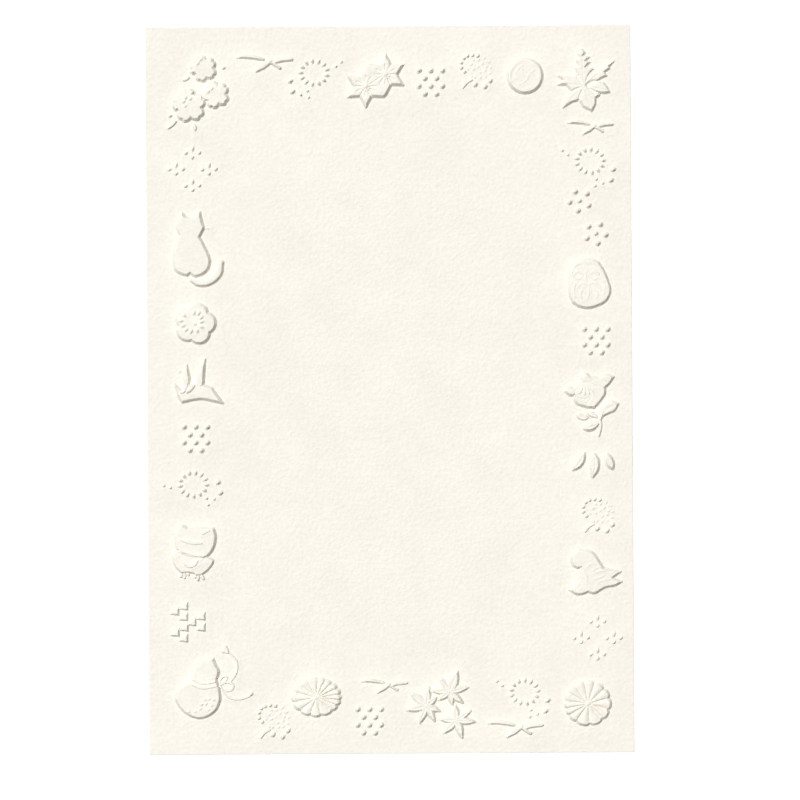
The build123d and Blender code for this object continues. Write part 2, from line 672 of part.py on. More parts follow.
def crane():
    centre = CRANE_CENTRE_PIXELS
    forms = [pressed(outline(centre, CRANE_BODY_PIXELS), LEAF_RISE, STROKE_SLOPE)]
    forms += [pressed(polygon(centre, wing), UNDER_FORM_RISE, STROKE_SLOPE) for wing in CRANE_WING_PIXELS]
    return forms + [dot(centre, CRANE_HEAD_PIXELS, CRANE_HEAD_DOT)], []


def sparrow():
    centre = SPARROW_CENTRE_PIXELS
    hood = pressed(outline(centre, SPARROW_HOOD_PIXELS))
    belly = pressed(outline(centre, SPARROW_BELLY_PIXELS), UNDER_FORM_RISE)
    toes = [dot(centre, p, TOE_DOT) for p in SPARROW_TOE_PIXELS]
    wing_line, belly_line = SPARROW_LINE_PIXELS
    lines = [
        crest_line(centre, wing_line, VEIN_WIDTH, FORM_RISE),
        crest_line(centre, belly_line, VEIN_WIDTH, UNDER_FORM_RISE),
    ]
    return [hood, belly] + toes, lines


def scales():
    centre = SCALE_CENTRE_PIXELS
    corners = [turned(corner) * PIXEL for corner in SCALE_CORNER_PIXELS]
    return [pyramid(drawn(centre, pixel), corners, STROKE_RISE) for pixel in SCALE_PIXELS], []


def border():
    """The motifs of the border, clockwise from the top left corner of the page."""
    top = [
        cherry_spray(), bird(*TOP_BIRD), dash_ring(*TOP_RING), hemp_stars(), fawn_spots(TOP_GRID),
        dotted_ball(TOP_BALL), roundel(), maple_leaf(),
    ]
    right = [
        bird(*RIGHT_BIRD), dash_ring(*RIGHT_RING), dot_plum(*UPPER_DOT_PLUM), dot_plum(*LOWER_DOT_PLUM),
        daruma(), fawn_spots(RIGHT_GRID), camellia(), leaf_spray(), dotted_ball(RIGHT_BALL), duck(),
        charm(RIGHT_CHARM),
    ]
    bottom = [
        chrysanthemum(*RIGHT_CHRYSANTHEMUM), bird(*LOWER_BIRD), dash_ring(*LOWER_RING), small_maples(),
        fawn_spots(LOWER_GRID), bird(*MIDDLE_BIRD), chrysanthemum(*LEFT_CHRYSANTHEMUM),
        dotted_ball(LOWER_BALL), gourd(),
    ]
    left = [
        scales(), sparrow(), dash_ring(*LEFT_RING), fawn_spots(LEFT_GRID), crane(), plum(), cat(),
        charm(LEFT_CHARM),
    ]
    return top + right + bottom + left


def letter_sheet():
    """The paper with its border: forms show on both faces, and crests only on the front."""
    blank = Box(SHEET_WIDTH, SHEET_LENGTH, PAPER_THICKNESS, align=(Align.CENTER, Align.CENTER, Align.MIN))
    forms, crests = [], []
    for motif_forms, motif_crests in border():
        forms += motif_forms
        crests += motif_crests
    hollows = [Pos(0, 0, -PAPER_THICKNESS) * form for form in forms]
    return (blank + forms) + crests - hollows


os.makedirs("parts", exist_ok=True)
export_step(letter_sheet(), "parts/letter_sheet.step")
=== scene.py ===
import math

import bpy
import numpy as np
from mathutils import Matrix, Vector
from mathutils.geometry import delaunay_2d_cdt


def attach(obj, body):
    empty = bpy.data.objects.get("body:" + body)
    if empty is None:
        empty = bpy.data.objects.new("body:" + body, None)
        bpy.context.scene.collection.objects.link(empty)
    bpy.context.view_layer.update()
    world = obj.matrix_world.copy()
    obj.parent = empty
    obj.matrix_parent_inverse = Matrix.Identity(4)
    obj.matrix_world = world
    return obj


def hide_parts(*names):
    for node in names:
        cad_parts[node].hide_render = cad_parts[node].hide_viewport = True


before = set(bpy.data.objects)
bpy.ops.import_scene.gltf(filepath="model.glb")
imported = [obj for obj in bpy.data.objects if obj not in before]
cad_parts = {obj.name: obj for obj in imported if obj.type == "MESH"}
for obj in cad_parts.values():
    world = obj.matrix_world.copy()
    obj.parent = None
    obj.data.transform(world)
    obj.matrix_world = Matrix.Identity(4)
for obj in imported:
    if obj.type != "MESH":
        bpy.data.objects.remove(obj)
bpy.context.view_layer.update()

# The sheet, in millimetres, as in the part's source
MM = 0.001
SHEET_WIDTH = 140.0
SHEET_LENGTH = 210.0
PAPER_THICKNESS = 0.25

# How high each kind of form stands above the page, and how wide its slope is for that height
FORM_RISE = 1.15
UNDER_FORM_RISE = 0.92
LEAF_RISE = 1.0
DOT_RISE_SHARE = 0.54
DOT_FALL = 1.08
SLOPE_SHARE = 0.9
SHOULDER_SHARE = 0.2
CREST_SLOPE = 0.34

# Fullness from end to end of a tapered stroke, a fine line, a leaf and a slender lobe
TAPER = (0.3, 0.8, 1.0, 0.8, 0.3)
LINE_TAPER = (0.5, 1.0, 1.0, 0.5)
LEAF_TAPER = (0.12, 0.62, 0.94, 1.0, 0.94, 0.62, 0.12)
LOBE_TAPER = (0.5, 0.8, 1.0, 0.95, 0.75, 0.45, 0.12)

# Dots: width, length, turn in degrees if it is always the same, and rise if it isn't a share of the width
CHERRY_STAMEN = (1.2, 1.8, 50, 0.52)
CHERRY_BUD = (1.2, 1.6, 20)
RING_DASH = (1.25, 2.0)
LARGE_SEED = (1.6, 2.1, 35)
SMALL_SEED = (1.05, 1.2, 35)
HEMP_HEART = (1.6, 1.6, 0, 0.42)
FAWN_SPOT = (1.85, 2.1, 48)
BALL_DOT = (1.25, 1.5, 45)
BALL_SPECK = (1.1, 1.3, 45, 0.18)
BALL_SEED = (1.55, 2.1, 50)
DOT_PLUM_HEART = (1.55, 1.8, 45)
DOT_PLUM_PETAL = (1.85, 2.1, 45)
DUCK_EYE = (0.9, 0.9, 0, 0.08)
CHARM_DOT = (1.2, 1.55, 45)
CHARM_DASH = (1.15, 2.2, 85)
GOURD_SPOT = (1.15, 1.4, 30, 0.36)
GOURD_BEAD = (1.3, 1.7, 45)
CHRYSANTHEMUM_HEART = (1.4, 2.4, 35, 0.28)
PLUM_HEART = (1.5, 1.5, 0, 0.4)
PLUM_STAMEN = (1.45, 2.3)
CRANE_HEAD = (1.1, 1.3, 45, 0.3)
SPARROW_SPECK = (0.9, 1.1, 30, 0.14)

# Strokes: width, fullness and rise
TWIG = (0.9, TAPER, 0.55)
BALL_LEAF = (0.95, (0.5, 1.0, 0.8, 0.3), 0.45)
CAMELLIA_STEM = (0.9, (0.9, 0.9, 0.5), 0.62)
GOURD_BOW = (0.55, (0.8, 1, 1, 0.8), 0.34)
GOURD_CORD = (0.5, (0.9, 1, 1, 0.9), 0.32)
GOURD_TASSEL = (0.9, (0.5, 1, 0.9), 0.5)
CAT_TAIL = (1.75, (0.3, 0.8, 1, 1, 1, 0.7), LEAF_RISE)
CAT_WHISKER = (0.6, TAPER, 0.2)
SPARROW_TOE = (0.85, (0.7, 1.0, 0.7), 0.5)

# Fine lines on a form: width, and rise or depth
MAPLE_VEIN = (0.4, 0.09)
DARUMA_HOOD_LINE = (0.7, 0.1)
FAINT_LINE = (0.5, 0.13)
LEAF_MIDRIB = (0.45, 0.14)
CAMELLIA_STAMEN = (0.55, 0.28)
CAMELLIA_MIDRIB = (0.5, 0.12)
GOURD_BAND = (0.65, 0.36)
GOURD_RING = (0.5, 0.12)
SMALL_MAPLE_VEIN = (0.42, 0.12)
SPARROW_LINE = (0.8, 0.38)

# Furrows: width, depth, slope and fullness
HEMP_RAY = (0.42, 0.42, 0.34, (0.8, 1, 0.8))
MAPLE_NOTCH_FURROW = (0.9, 0.45, 0.6, (1.0, 0.9, 0.4))
MAPLE_FURROW = (1.5, 0.8, 0.8, (0.7, 1.0, 0.8, 0.5))

# Lines laid on the crown of a form: width, fullness, rise and slope
ROUNDEL_HOLLOW = (0.7, LINE_TAPER, -0.1, CREST_SLOPE)
ROUNDEL_LINE = (0.6, (0.4, 1, 0.9, 0.4), 0.12, 0.4)
ROUNDEL_SPECK = (0.6, (1, 1), 0.12, 0.4)
CRANE_FOLD = (1.0, LINE_TAPER, 0.5, 0.6)

# Tracing the slopes: the levels, the finest cell, how far a line may stray and its longest straight run
SLOPE_LEVELS = (0.004, SHOULDER_SHARE, 1 - SHOULDER_SHARE, 0.996)
POINTED_LEVELS = SLOPE_LEVELS + (0.4, 0.5, 0.6, 0.7)
LINE_LEVELS = (0.01, 0.5, 0.99)
DOME_LEVELS = (0.01, 0.5, 0.9)
TRACE_CELL = 0.15
FRONT_SLACK = 0.01
BACK_SLACK = 0.035
LONGEST_RUN = 0.8
CURVE_PIECES = 10

# The cell of the plain page, the step over which the paper's tilt is taken, and where its edge begins
PAGE_CELL = 7.0
PROBE = 0.012
EDGE_SHARE = 0.4999

# Places on the sheet are pixels of the 800 by 800 photograph, y down
SHEET_CENTRE_PIXELS = (389.7, 389.7)
SHEET_SPAN_PIXELS = 484.8
SHEET_TURN = math.radians(0.335)
PIXEL = SHEET_WIDTH / SHEET_SPAN_PIXELS

# Cherry blossoms: centre, reach and radius of the petals, turn of the first
CHERRY_PIXELS = (
    ((203.7, 69), (7.6, 5.6), 38),
    ((215.7, 94.9), (8, 5.8), 38),
    ((189.4, 105.9), (9.8, 7.2), 26),
)
CHERRY_NICK = 0.24
CHERRY_STAMEN_PIXELS = (
    (201.2, 60.2), (198.2, 64.2), (193.2, 72.7), (212.2, 89.2), (208.7, 92.2), (192.2, 93.2), (186.2, 98.2),
    (190.7, 99.7), (184.2, 102.2), (185.7, 106.7), (176.7, 109.2),
)
TWIG_PIXELS = (
    ((183, 80.6), (186, 79.4), (189.2, 77.6)),
    ((168, 128.6), (172.2, 125), (176.6, 121)),
    ((194.2, 124.6), (195, 127.4), (195.4, 130.4)),
)
BUD_PIXELS = ((223.6, 68), (170.4, 116))

# A flying bird about its shoulder: each limb's spine, width in millimetres and fullness along it
BIRD_LIMB_PIXELS = (
    (((-32.5, -6.4), (-20, -7), (-6.5, -4.3)), 1.25, (0.3, 0.85, 0.45)),
    (((5.2, -1), (8.4, -3.3), (22, -4.3)), 1.35, (0.5, 1.0, 0.5)),
    (((-13.4, 7.7), (-6.4, 2.6), (1, -2.2)), 1.45, (0.3, 0.95, 0.6)),
    (((0, -1.9), (4.6, 0.9), (10.2, 4.2)), 1.1, (0.5, 0.5, 0.65)),
)
BIRD_RISE = 0.76
BIRD_PLACE_PIXELS = (
    ((269.7, 63.8), 1.0),
    ((594.2, 127.8), 0.81),
    ((388.6, 686.3), 0.81),
    ((520.4, 729.2), 0.98),
)

# A ring of dashes about its centre, with seeds; each ring's side, the turn of its seeds and of its first dash
LARGE_SEED_PIXELS = ((23.5, 8.6), (21.4, 19.2))
SMALL_SEED_PIXELS = ((6.6, 18.4), (13.2, 22.3), (5.4, 25), (-27.4, -10.5), (-22, -6))
DASH_RING_REACH_PIXELS = (13.3, 11.6)
DASH_RING_DASHES = 13
DASH_RING_PLACE_PIXELS = (
    ((314, 72.6), -1, 0, 13.8),
    ((589.8, 160.9), 1, 0, 2),
    ((193.2, 484.2), 1, 24, -4),
    ((524.3, 691.7), 1, 0, 4),
)

HEMP_STAR_PIXELS = ((365.8, 86.9), (385.5, 75.1))
HEMP_STAR_REACH_PIXELS = (20.5, 11.4)
HEMP_RAY_REACH_PIXELS = (5.2, 7.6, 10.2)
HEMP_FOLD = 0.12

# A fawn-spot block: its first dot, and the four blocks
GRID_PITCH_PIXELS = (11.7, 7.8)
GRID_ROWS = (3, 2, 3, 2)
GRID_PLACE_PIXELS = ((419.1, 70.7), (584.4, 329.1), (357.9, 709.3), (184.2, 427))

# A dotted ball about its centre, with the leaf and seeds beneath it
BALL_RING_PIXELS = (
    (-11.6, 1), (-14.8, -3), (-14.8, -8.2), (-12.4, -12.5), (-8.6, -14.8), (-3.6, -15.6), (1.6, -15),
)
BALL_SPECK_PIXELS = (
    (8, -13), (12.5, -9), (14.5, -3.5), (14, 2.5), (2.2, -10.8), (10.6, -9.6), (-5, -6.8), (1.8, -4.4),
    (10.2, -4.2), (9, -0.6), (4, 1.4), (-2.6, -2), (13.4, 2.4), (-1.6, 6.2), (4.2, 6.2), (-5, 6.2),
    (9.4, 5.4), (-8.4, -1.8), (-2.6, -11), (6, -7.4),
)
BALL_SEED_PIXELS = ((-0.8, 13.6), (9, 15.8), (14.2, 9.8))
BALL_LEAF_PIXELS = ((-13, 16.6), (-10.6, 12.4), (-4, 9))
BALL_PLACE_PIXELS = ((476.2, 71), (598.2, 515), (274, 721))

ROUNDEL_CENTRE_PIXELS = (524.9, 76)
ROUNDEL_RADIUS = 5.0
ROUNDEL_RIM = 1.3
ROUNDEL_RECESS = 0.09
ROUNDEL_LINE_PIXELS = (
    ((534.2, 70.2), (528.8, 74.4), (526.8, 79.6), (522.2, 83.8)),
    ((522.6, 65.2), (518.6, 68.6), (516.2, 72.8)),
)
ROUNDEL_HOLLOW_PIXELS = ((516.7, 66.2), (512.7, 72.2), (512.2, 78.7))
ROUNDEL_SPECK_PIXELS = ((518.4, 84.4), (515.4, 78.6), (510, 81.4), (521.2, 69.2))

MAPLE_OUTLINE_PIXELS = (
    (581.5, 49.5), (584.8, 53), (582.4, 56.3), (589.2, 57.2), (585, 61.4), (589.4, 62.4), (584.8, 67.6),
    (593, 68.8), (588.4, 75), (597.5, 72), (603.5, 68), (606.8, 64.8), (613.5, 61.5), (608.8, 66.8),
    (609.4, 68.4), (604, 72.4), (606.4, 75.8), (600.6, 78.4), (597.6, 81.4), (600.4, 82.8), (603.5, 83.2),
    (607, 87.4), (609.5, 92.2), (603, 93.2), (596.8, 92.2), (599.4, 95.2), (595.6, 98), (595.2, 104.5),
    (591.8, 111), (583.5, 107), (579, 100.4), (572.5, 101.8), (563, 107.6), (567, 99), (571.5, 91.5),
    (566.5, 85.2), (558, 84.6), (563.5, 80.6), (558.5, 76.2), (566, 76.4), (573.5, 77.2), (577, 73.5),
    (575, 68.6), (579, 66), (576.6, 60.8), (579.6, 57.4), (578, 53.6),
)
MAPLE_HEART_PIXELS = (583.5, 86)
MAPLE_FURROW_PIXELS = ((587.6, 85.6), (591.4, 83.2), (597.4, 81.6))
MAPLE_TIP_PIXELS = ((582, 53), (611, 64), (607, 91), (591, 108), (565.5, 105.5), (561, 84))
MAPLE_NOTCH_REACH = 0.35
MAPLE_NOTCH_PIXELS = ((577.5, 76.5), (589.4, 75.5), (595.4, 93), (579, 99.6), (572.4, 91.5))

# Each dot plum: its centre and the turn of its first dot
DOT_PLUM_PLACE_PIXELS = (((579.7, 200.8), 43.5), ((595.9, 233.5), 64))
DOT_PLUM_REACH = 2.9

DARUMA_OUTLINE_PIXELS = (
    ((598.5, 262.6), (603.4, 270.4), (608, 281), (610.2, 291.5), (606, 300.6), (597, 305.8), (587.5, 308),
     (578.5, 306.2)),
    ((572.6, 302.4), (569.6, 295), (569, 284), (570.6, 271), (576, 262.8), (585, 259.6), (592.5, 259.8)),
)
DARUMA_HOOD_PIXELS = ((572.5, 274), (576, 267.5), (585, 265.5), (594, 266.5), (600, 274))
DARUMA_LINE_PIXELS = (
    ((573.5, 275.5), (577, 272), (582.5, 274.5)),
    ((574, 276), (578, 279.5), (582.5, 276.5)),
    ((590, 274.5), (594, 271.5), (598.5, 275)),
    ((590, 276.5), (594, 279.5), (598.5, 277)),
    ((586, 272), (585.5, 277), (586.5, 282)),
    ((585.5, 284), (580.5, 283.5), (577, 288.5)),
    ((588.5, 284), (594, 283), (599, 288)),
    ((575, 284), (573.5, 290), (575, 297)),
    ((602, 281), (604.5, 287), (603.5, 294)),
    ((582.5, 289.5), (580, 294), (581.5, 300)),
    ((588, 288.5), (588.5, 293.5), (587, 298.5)),
    ((594, 289.5), (597, 293.5), (595.5, 299)),
)

CAMELLIA_OUTLINE_PIXELS = (
    ((613.4, 377), (609.5, 383)),
    ((604.8, 387.8), (605, 393.4), (600.6, 400.6)),
    ((594, 408), (586, 407)),
    ((577.6, 404.4), (574.6, 400.6)),
    ((574.6, 395), (570.6, 395.6)),
    ((564.6, 391.4), (567.6, 387.6)),
    ((574, 388), (577, 384.4)),
    ((581.4, 381), (582, 376), (586, 374)),
    ((590.4, 377), (594.6, 377.4)),
    ((600.2, 378), (605, 374.6)),
)
CAMELLIA_PETAL_PIXELS = (
    ((574.5, 397), (575.5, 390), (579, 385)),
    ((579, 385), (585, 382.2), (592.5, 384)),
    ((592.5, 384), (597, 386.5), (604, 388.5)),
    ((592, 380), (597.5, 378.5), (603, 381.5)),
    ((598, 374.5), (600.5, 379), (607, 383)),
    ((578, 398), (584.5, 399.5), (590, 396.5)),
    ((586, 405.5), (588, 402), (590.5, 398)),
)
CAMELLIA_STAMEN_PIXELS = (
    ((581.8, 388.2), (580.6, 391), (578.8, 393.6)),
    ((584.6, 387.4), (584.8, 391), (584.2, 394.6)),
    ((587, 387.6), (588.2, 391), (588.6, 394.2)),
    ((589.4, 388.4), (591.8, 391), (593.2, 393.2)),
)
CAMELLIA_RIGHT_LEAF_PIXELS = (
    ((599.6, 421.5),), ((603.2, 415.8), (609, 413.2), (614.6, 410.4)), ((618.4, 403.6),),
    ((612, 400.8), (605.5, 403.8), (601, 410)),
)
CAMELLIA_LEAF_PIXELS = (
    (((576.4, 414.4), (582, 417), (588.6, 417.6)), 5.6, 0.6),
    (((586.8, 412.6), (592, 414.4), (598, 417.4)), 4.8, 0.6),
    (((584, 428.4), (590.4, 427), (599, 423.4)), 6.8, FORM_RISE),
)
CAMELLIA_MIDRIB_PIXELS = ((601, 417.5), (607.5, 408.6), (616.5, 404.4))
CAMELLIA_STEM_PIXELS = ((599.6, 418), (600.4, 427), (598.8, 435.6))

# Each leaf of a hanging spray: its ends and middle, and its width
SPRAY_LEAF_PIXELS = (
    (((584.2, 453), (579.6, 462.2), (573, 469.6)), 7.2),
    (((594, 454), (595, 464.4), (592.8, 476.6)), 8.4),
    (((606.6, 454), (609.4, 461.6), (612.4, 468.6)), 7.2),
)

DUCK_OUTLINE_PIXELS = (
    ((573.4, 565.6), (571.6, 562), (571.4, 556.6), (577.4, 550.6), (586.5, 550.4), (592.5, 552.6)),
    ((595.8, 556),),
    ((603.4, 568), (611, 569.8)),
    ((620.4, 571.6),),
    ((612.5, 577.6),),
    ((621.4, 581.6), (615, 585.2), (605, 587.3), (594, 593.2)),
    ((588, 591.6), (580, 594.2), (574.4, 593.2)),
    ((569.4, 589.6), (574.4, 585.6), (578.6, 579)),
    ((581, 567.4), (577, 567.8)),
)
DUCK_FEATHER_PIXELS = (
    ((587.5, 566.5), (590.5, 563.6), (594, 563.4)),
    ((592.5, 570.5), (596.5, 567.4), (600, 567.4)),
    ((594, 573.5), (599, 571), (606.5, 569.8)),
    ((593.5, 578.8), (599, 577.4), (605, 574.6)),
    ((598, 582), (604, 579.6), (610, 579)),
    ((584, 571.5), (586.5, 576), (586, 581)),
)
DUCK_EYE_PIXELS = (577, 557)

# A charm of four small groups, each a stroke over three dots, about the charm's centre
CHARM_GROUP_PIXELS = ((0, -16.4), (-16.4, 0), (16.4, 0), (0, 16.4))
CHARM_DOT_PIXELS = ((-7.6, -0.2), (6, -0.6), (-0.8, 3.8))
CHARM_DASH_PIXELS = (-0.8, -4.6)
CHARM_PLACE_PIXELS = ((598.4, 638.4), (193.5, 169.9))

GOURD_OUTLINE_PIXELS = (
    ((216.8, 679.5), (219.6, 690), (220.2, 700), (214.5, 711.5), (200, 718), (185, 712), (176, 698.5),
     (180.5, 687.5)),
    ((191.8, 680.5), (193.6, 670), (201, 661.5)),
    ((213.4, 658.6), (215.6, 664.6), (218.8, 671)),
)
GOURD_BAND_PIXELS = (
    ((193.5, 679.5), (203, 683), (215.5, 681.5)),
    ((192.5, 684.5), (203, 687.5), (216, 686)),
)
GOURD_RING_PIXELS = ((200.5, 676), (206, 679), (213, 677.6))
GOURD_SPOT_PIXELS = (
    (202.2, 703.6), (205.2, 699.2), (209.5, 698.6), (214.2, 699.4), (200.8, 708.4), (206.4, 703.4),
    (195.6, 711.2), (189.2, 711.2), (212, 705), (209, 709.2),
)
GOURD_BOW_PIXELS = (
    ((219.5, 681.5), (223, 676.6), (227, 677.6), (224.5, 682), (219.5, 682.4)),
    ((220, 685), (224.5, 683), (230, 683), (232.6, 686.8), (229, 690.2), (223, 689.4), (220, 686)),
    ((228.5, 682.4), (231.4, 682.6), (233.4, 685.6), (231.6, 689.8), (226, 691.4)),
)
GOURD_CORD_PIXELS = (
    ((230, 682.2), (235, 675.6), (237.4, 668), (236, 660), (229.5, 653)),
    ((222, 691), (230, 698), (240, 699.2), (249.5, 696.4)),
)
GOURD_TASSEL_PIXELS = (
    ((228.6, 653), (225.6, 651.6), (222.8, 651.4)),
    ((228, 652), (226.6, 649.4), (225.2, 646.8)),
)
GOURD_BEAD_PIXELS = (251.2, 694.2)

# Each chrysanthemum: its centre, its half width and height, and the turn of each furrow
CHRYSANTHEMUM_PLACE_PIXELS = (
    ((316.4, 697.2), (24.4, 19), (8, 28, 49, 67, 85, 110, 136, 163, 196, 226, 255, 283, 313, 333, 351)),
    ((587.8, 703.2), (23, 22), (14, 43, 72, 98, 124, 150, 174, 194, 213, 238, 275, 311, 342)),
)
CHRYSANTHEMUM_NOTCH_SHARE = 0.1
CHRYSANTHEMUM_HEART_SHARE = 0.42
PETAL_FURROW = 0.54
PETAL_ROUNDNESS = 2.6
PETAL_TRACE_SHARES = (0, 0.07, 0.16, 0.3, 0.5, 0.7, 0.84, 0.93)

# Each small maple leaf: its centre, and the tip and width of each lobe in turn
SMALL_MAPLE_PIXELS = (
    ((449.4, 691.5), (
        ((457.2, 671.5), 8.4), ((468, 687.4), 5.4), ((462.4, 702.6), 5.4), ((452.6, 704.4), 5),
        ((438.4, 699.8), 5.2), ((431.4, 690.8), 5.4), ((439.9, 678), 5))),
    ((426.5, 705.4), (
        ((428.6, 687), 5.8), ((437.2, 696.4), 5.4), ((439.6, 711), 5.2), ((434.8, 720.8), 5.4),
        ((420.2, 722.4), 5.6), ((407.4, 710), 6.4), ((411.5, 693.4), 6.6))),
    ((456.5, 720), (
        ((455.4, 705.5), 5.8), ((470.4, 710.6), 5.2), ((474.4, 721.8), 5.8), ((462.2, 737.4), 6),
        ((444, 732.8), 5.8), ((440.4, 719.2), 5.6))),
)
SMALL_MAPLE_FULLNESS = 1.2

CAT_OUTLINE_PIXELS = (
    ((182.2, 212.9), (186, 217.2), (190.5, 218.3), (195, 217.1)),
    ((199.8, 211.8), (202.6, 224.3)),
    ((204.3, 227.3), (201, 234.3)),
    ((199.3, 237.1), (204.3, 246.3), (210, 261.3), (206.5, 271.3), (195, 276.6)),
    ((190.5, 273.3),),
    ((187, 275.6), (177, 271.6), (173.5, 261.3), (177.8, 240.3)),
    ((180, 235.3), (177, 227.8), (180, 218.3)),
)
CAT_TAIL_PIXELS = ((191, 280.3), (198, 283.3), (206, 282.9), (213.5, 279.3), (219, 272.8), (221.3, 262.8))
CAT_WHISKER_PIXELS = ((203, 228.3), (205.6, 228.1), (208.6, 228.9))

PLUM_CENTRE_PIXELS = (195.4, 324)
PLUM_TURN_DEGREES = 5
PLUM_PETAL_REACH = 2.9
PLUM_PETAL_RADIUS = 3.0
PLUM_STAMEN_RISE = 0.62
PLUM_STAMEN_PIXELS = (
    (184.5, 315.5), (194.5, 312.5), (199, 313.5), (201.5, 317.5), (202, 322), (201.5, 327), (197.5, 331),
    (191.5, 331.5), (186.5, 330), (183.5, 326), (181, 321),
)

CRANE_BODY_PIXELS = (
    ((175.2, 384.5),), ((182.7, 391.5),), ((187.7, 386),), ((196.2, 385),), ((204.2, 385),), ((211.8, 388),),
    ((222.8, 403.4), (211.2, 400.6), (200.2, 399)), ((182.2, 402.4),), ((177.8, 395),),
)
CRANE_WING_PIXELS = (
    ((205, 359), (203.4, 386), (190.7, 390.5)),
    ((186.8, 365), (190, 378.6), (188.4, 388), (184.4, 391.5), (184, 378)),
)
CRANE_FOLD_PIXELS = (
    ((182.2, 392.4), (184.6, 390), (186.6, 387.8)),
    ((187.4, 392.2), (191, 389), (194.2, 385.4)),
)
CRANE_HEAD_PIXELS = (179.6, 371.8)

SPARROW_HOOD_PIXELS = (
    ((178, 528.4), (182.6, 525.2)),
    ((188, 528.4), (198, 527.8), (206.5, 528.2)),
    ((213.6, 528.4), (215.7, 535), (214.8, 544.5), (210.6, 553)),
    ((204, 558.8), (193, 556.6), (183, 553.4)),
    ((177, 549.5), (175.6, 540)),
)
SPARROW_BELLY_PIXELS = (
    ((176.4, 550), (192, 554), (206, 556.5), (213.4, 560.5), (210, 567.6), (202.6, 574)),
    ((196, 575.6), (194.6, 573.6), (188, 572.4)),
    ((181.6, 573), (175.6, 566.5), (173.4, 557.5)),
)
SPARROW_LINE_PIXELS = (
    ((181.5, 540), (191, 542.6), (202, 543)),
    ((179, 551), (190, 554.8), (204, 556)),
    ((184.4, 562.6), (187, 565.4), (191.6, 566), (195.4, 564.2), (198, 560.6)),
    ((203.4, 533.6), (206, 531.6), (209.6, 530.2)),
)
SPARROW_SPECK_PIXELS = ((182.4, 526.8), (179, 556.4))
SPARROW_TOE_PIXELS = (
    ((182, 573), (181, 576.4)), ((184.4, 573), (184.8, 577.6)), ((187.6, 572.4), (188.6, 575)),
    ((198.6, 575.6), (198, 580)), ((201.4, 575.4), (203.6, 578.8)), ((196.4, 575), (195.6, 577)),
)

# Small three-cornered scales: the corners of one about its mark, and the nine marks
SCALE_RISE = 0.75
SCALE_CORNER_PIXELS = ((-6.3, 1.8), (2, -5), (2, 2.8))
SCALE_PIXELS = (
    (185.6, 607.2), (176.7, 612.2), (185.5, 617.8), (203, 617.2), (193.8, 622.9), (186.1, 628.2),
    (203, 628.2), (177.1, 633.5), (185.6, 639),
)

# Every raised or sunk mark, in the order in which they are pressed
marks = []


def on_sheet(pixel):
    """The place on the sheet, in millimetres, of a pixel of the photograph."""
    x, y = pixel[0] - SHEET_CENTRE_PIXELS[0], pixel[1] - SHEET_CENTRE_PIXELS[1]
    return np.array((
        x * math.cos(SHEET_TURN) - y * math.sin(SHEET_TURN),
        -y * math.cos(SHEET_TURN) - x * math.sin(SHEET_TURN),
    )) * PIXEL


def about(centre, step, scale=1.0):
    return (centre[0] + step[0] * scale, centre[1] + step[1] * scale)


def part_way(start, end, share):
    return about(start, (end[0] - start[0], end[1] - start[1]), share)


def heading(degrees, reach=1.0):
    return np.array((math.cos(math.radians(degrees)), math.sin(math.radians(degrees)))) * reach


def curve(points):
    """Points along a smooth curve through a few points."""
    points = np.array(points, float)
    if len(points) == 2:
        return points[0] + (points[1] - points[0]) * np.linspace(0, 1, CURVE_PIECES + 1)[:, None]
    run = np.concatenate((2 * points[:1] - points[1:2], points, 2 * points[-1:] - points[-2:-1]))
    made = []
    for a, b, c, d in zip(run, run[1:], run[2:], run[3:]):
        ta, tb, tc = (max(math.dist(p, q), 1e-6) ** 0.5 for p, q in ((a, b), (b, c), (c, d)))
        leave = tb * ((b - a) / ta - (c - a) / (ta + tb) + (c - b) / tb)
        reach = tb * ((c - b) / tb - (d - b) / (tb + tc) + (d - c) / tc)
        t = np.linspace(0, 1, CURVE_PIECES, endpoint=False)[:, None]
        made.append(b + t * leave + t * t * (3 * (c - b) - 2 * leave - reach)
                    + t ** 3 * (2 * (b - c) + leave + reach))
    made.append(points[-1:])
    return np.concatenate(made)


def outline_at(pixels):
    """A closed outline straight from one pixel to the next."""
    return np.array([on_sheet(pixel) for pixel in pixels])


def outline(runs):
    """A closed outline of runs, straight or curved: each ends where the next one starts."""
    runs = [[on_sheet(pixel) for pixel in run] for run in runs]
    made = []
    for run, following in zip(runs, runs[1:] + runs[:1]):
        points = run + following[:1]
        made.append(np.array(points[:1]) if len(points) == 2 else curve(points)[:-1])
    return np.concatenate(made)


def nearest_on(start, side, places):
    """How far along each side its nearest point to each place is, as a share, and how far off it is."""
    flat = places[:, None]
    share = ((flat - start) * side).sum(-1) / np.maximum((side * side).sum(-1), 1e-12)
    share = np.clip(share, 0, 1)
    gap = flat - start - share[..., None] * side
    return share, np.sqrt((gap * gap).sum(-1))


def depth_in_outline(corners, places):
    """How far each place lies inside a closed outline; outside counts below zero."""
    start, end = corners, np.roll(corners, -1, 0)
    side = end - start
    distance = nearest_on(start, side, places)[1].min(1)
    x, y = places[:, :1], places[:, 1:]
    spans = (start[:, 1] > y) != (end[:, 1] > y)
    rise = np.where(np.abs(side[:, 1]) < 1e-12, 1e-12, side[:, 1])
    crossing = start[:, 0] + (y - start[:, 1]) / rise * side[:, 0]
    inside = (spans & (x < crossing)).sum(1) % 2 == 1
    return np.where(inside, distance, -distance)


def depth_in_stroke(spine, half_width, places):
    """How far each place lies inside a stroke whose half width changes along its spine."""
    share, distance = nearest_on(spine[:-1], spine[1:] - spine[:-1], places)
    width = half_width[:-1] + share * (half_width[1:] - half_width[:-1])
    return (width - distance).max(1)


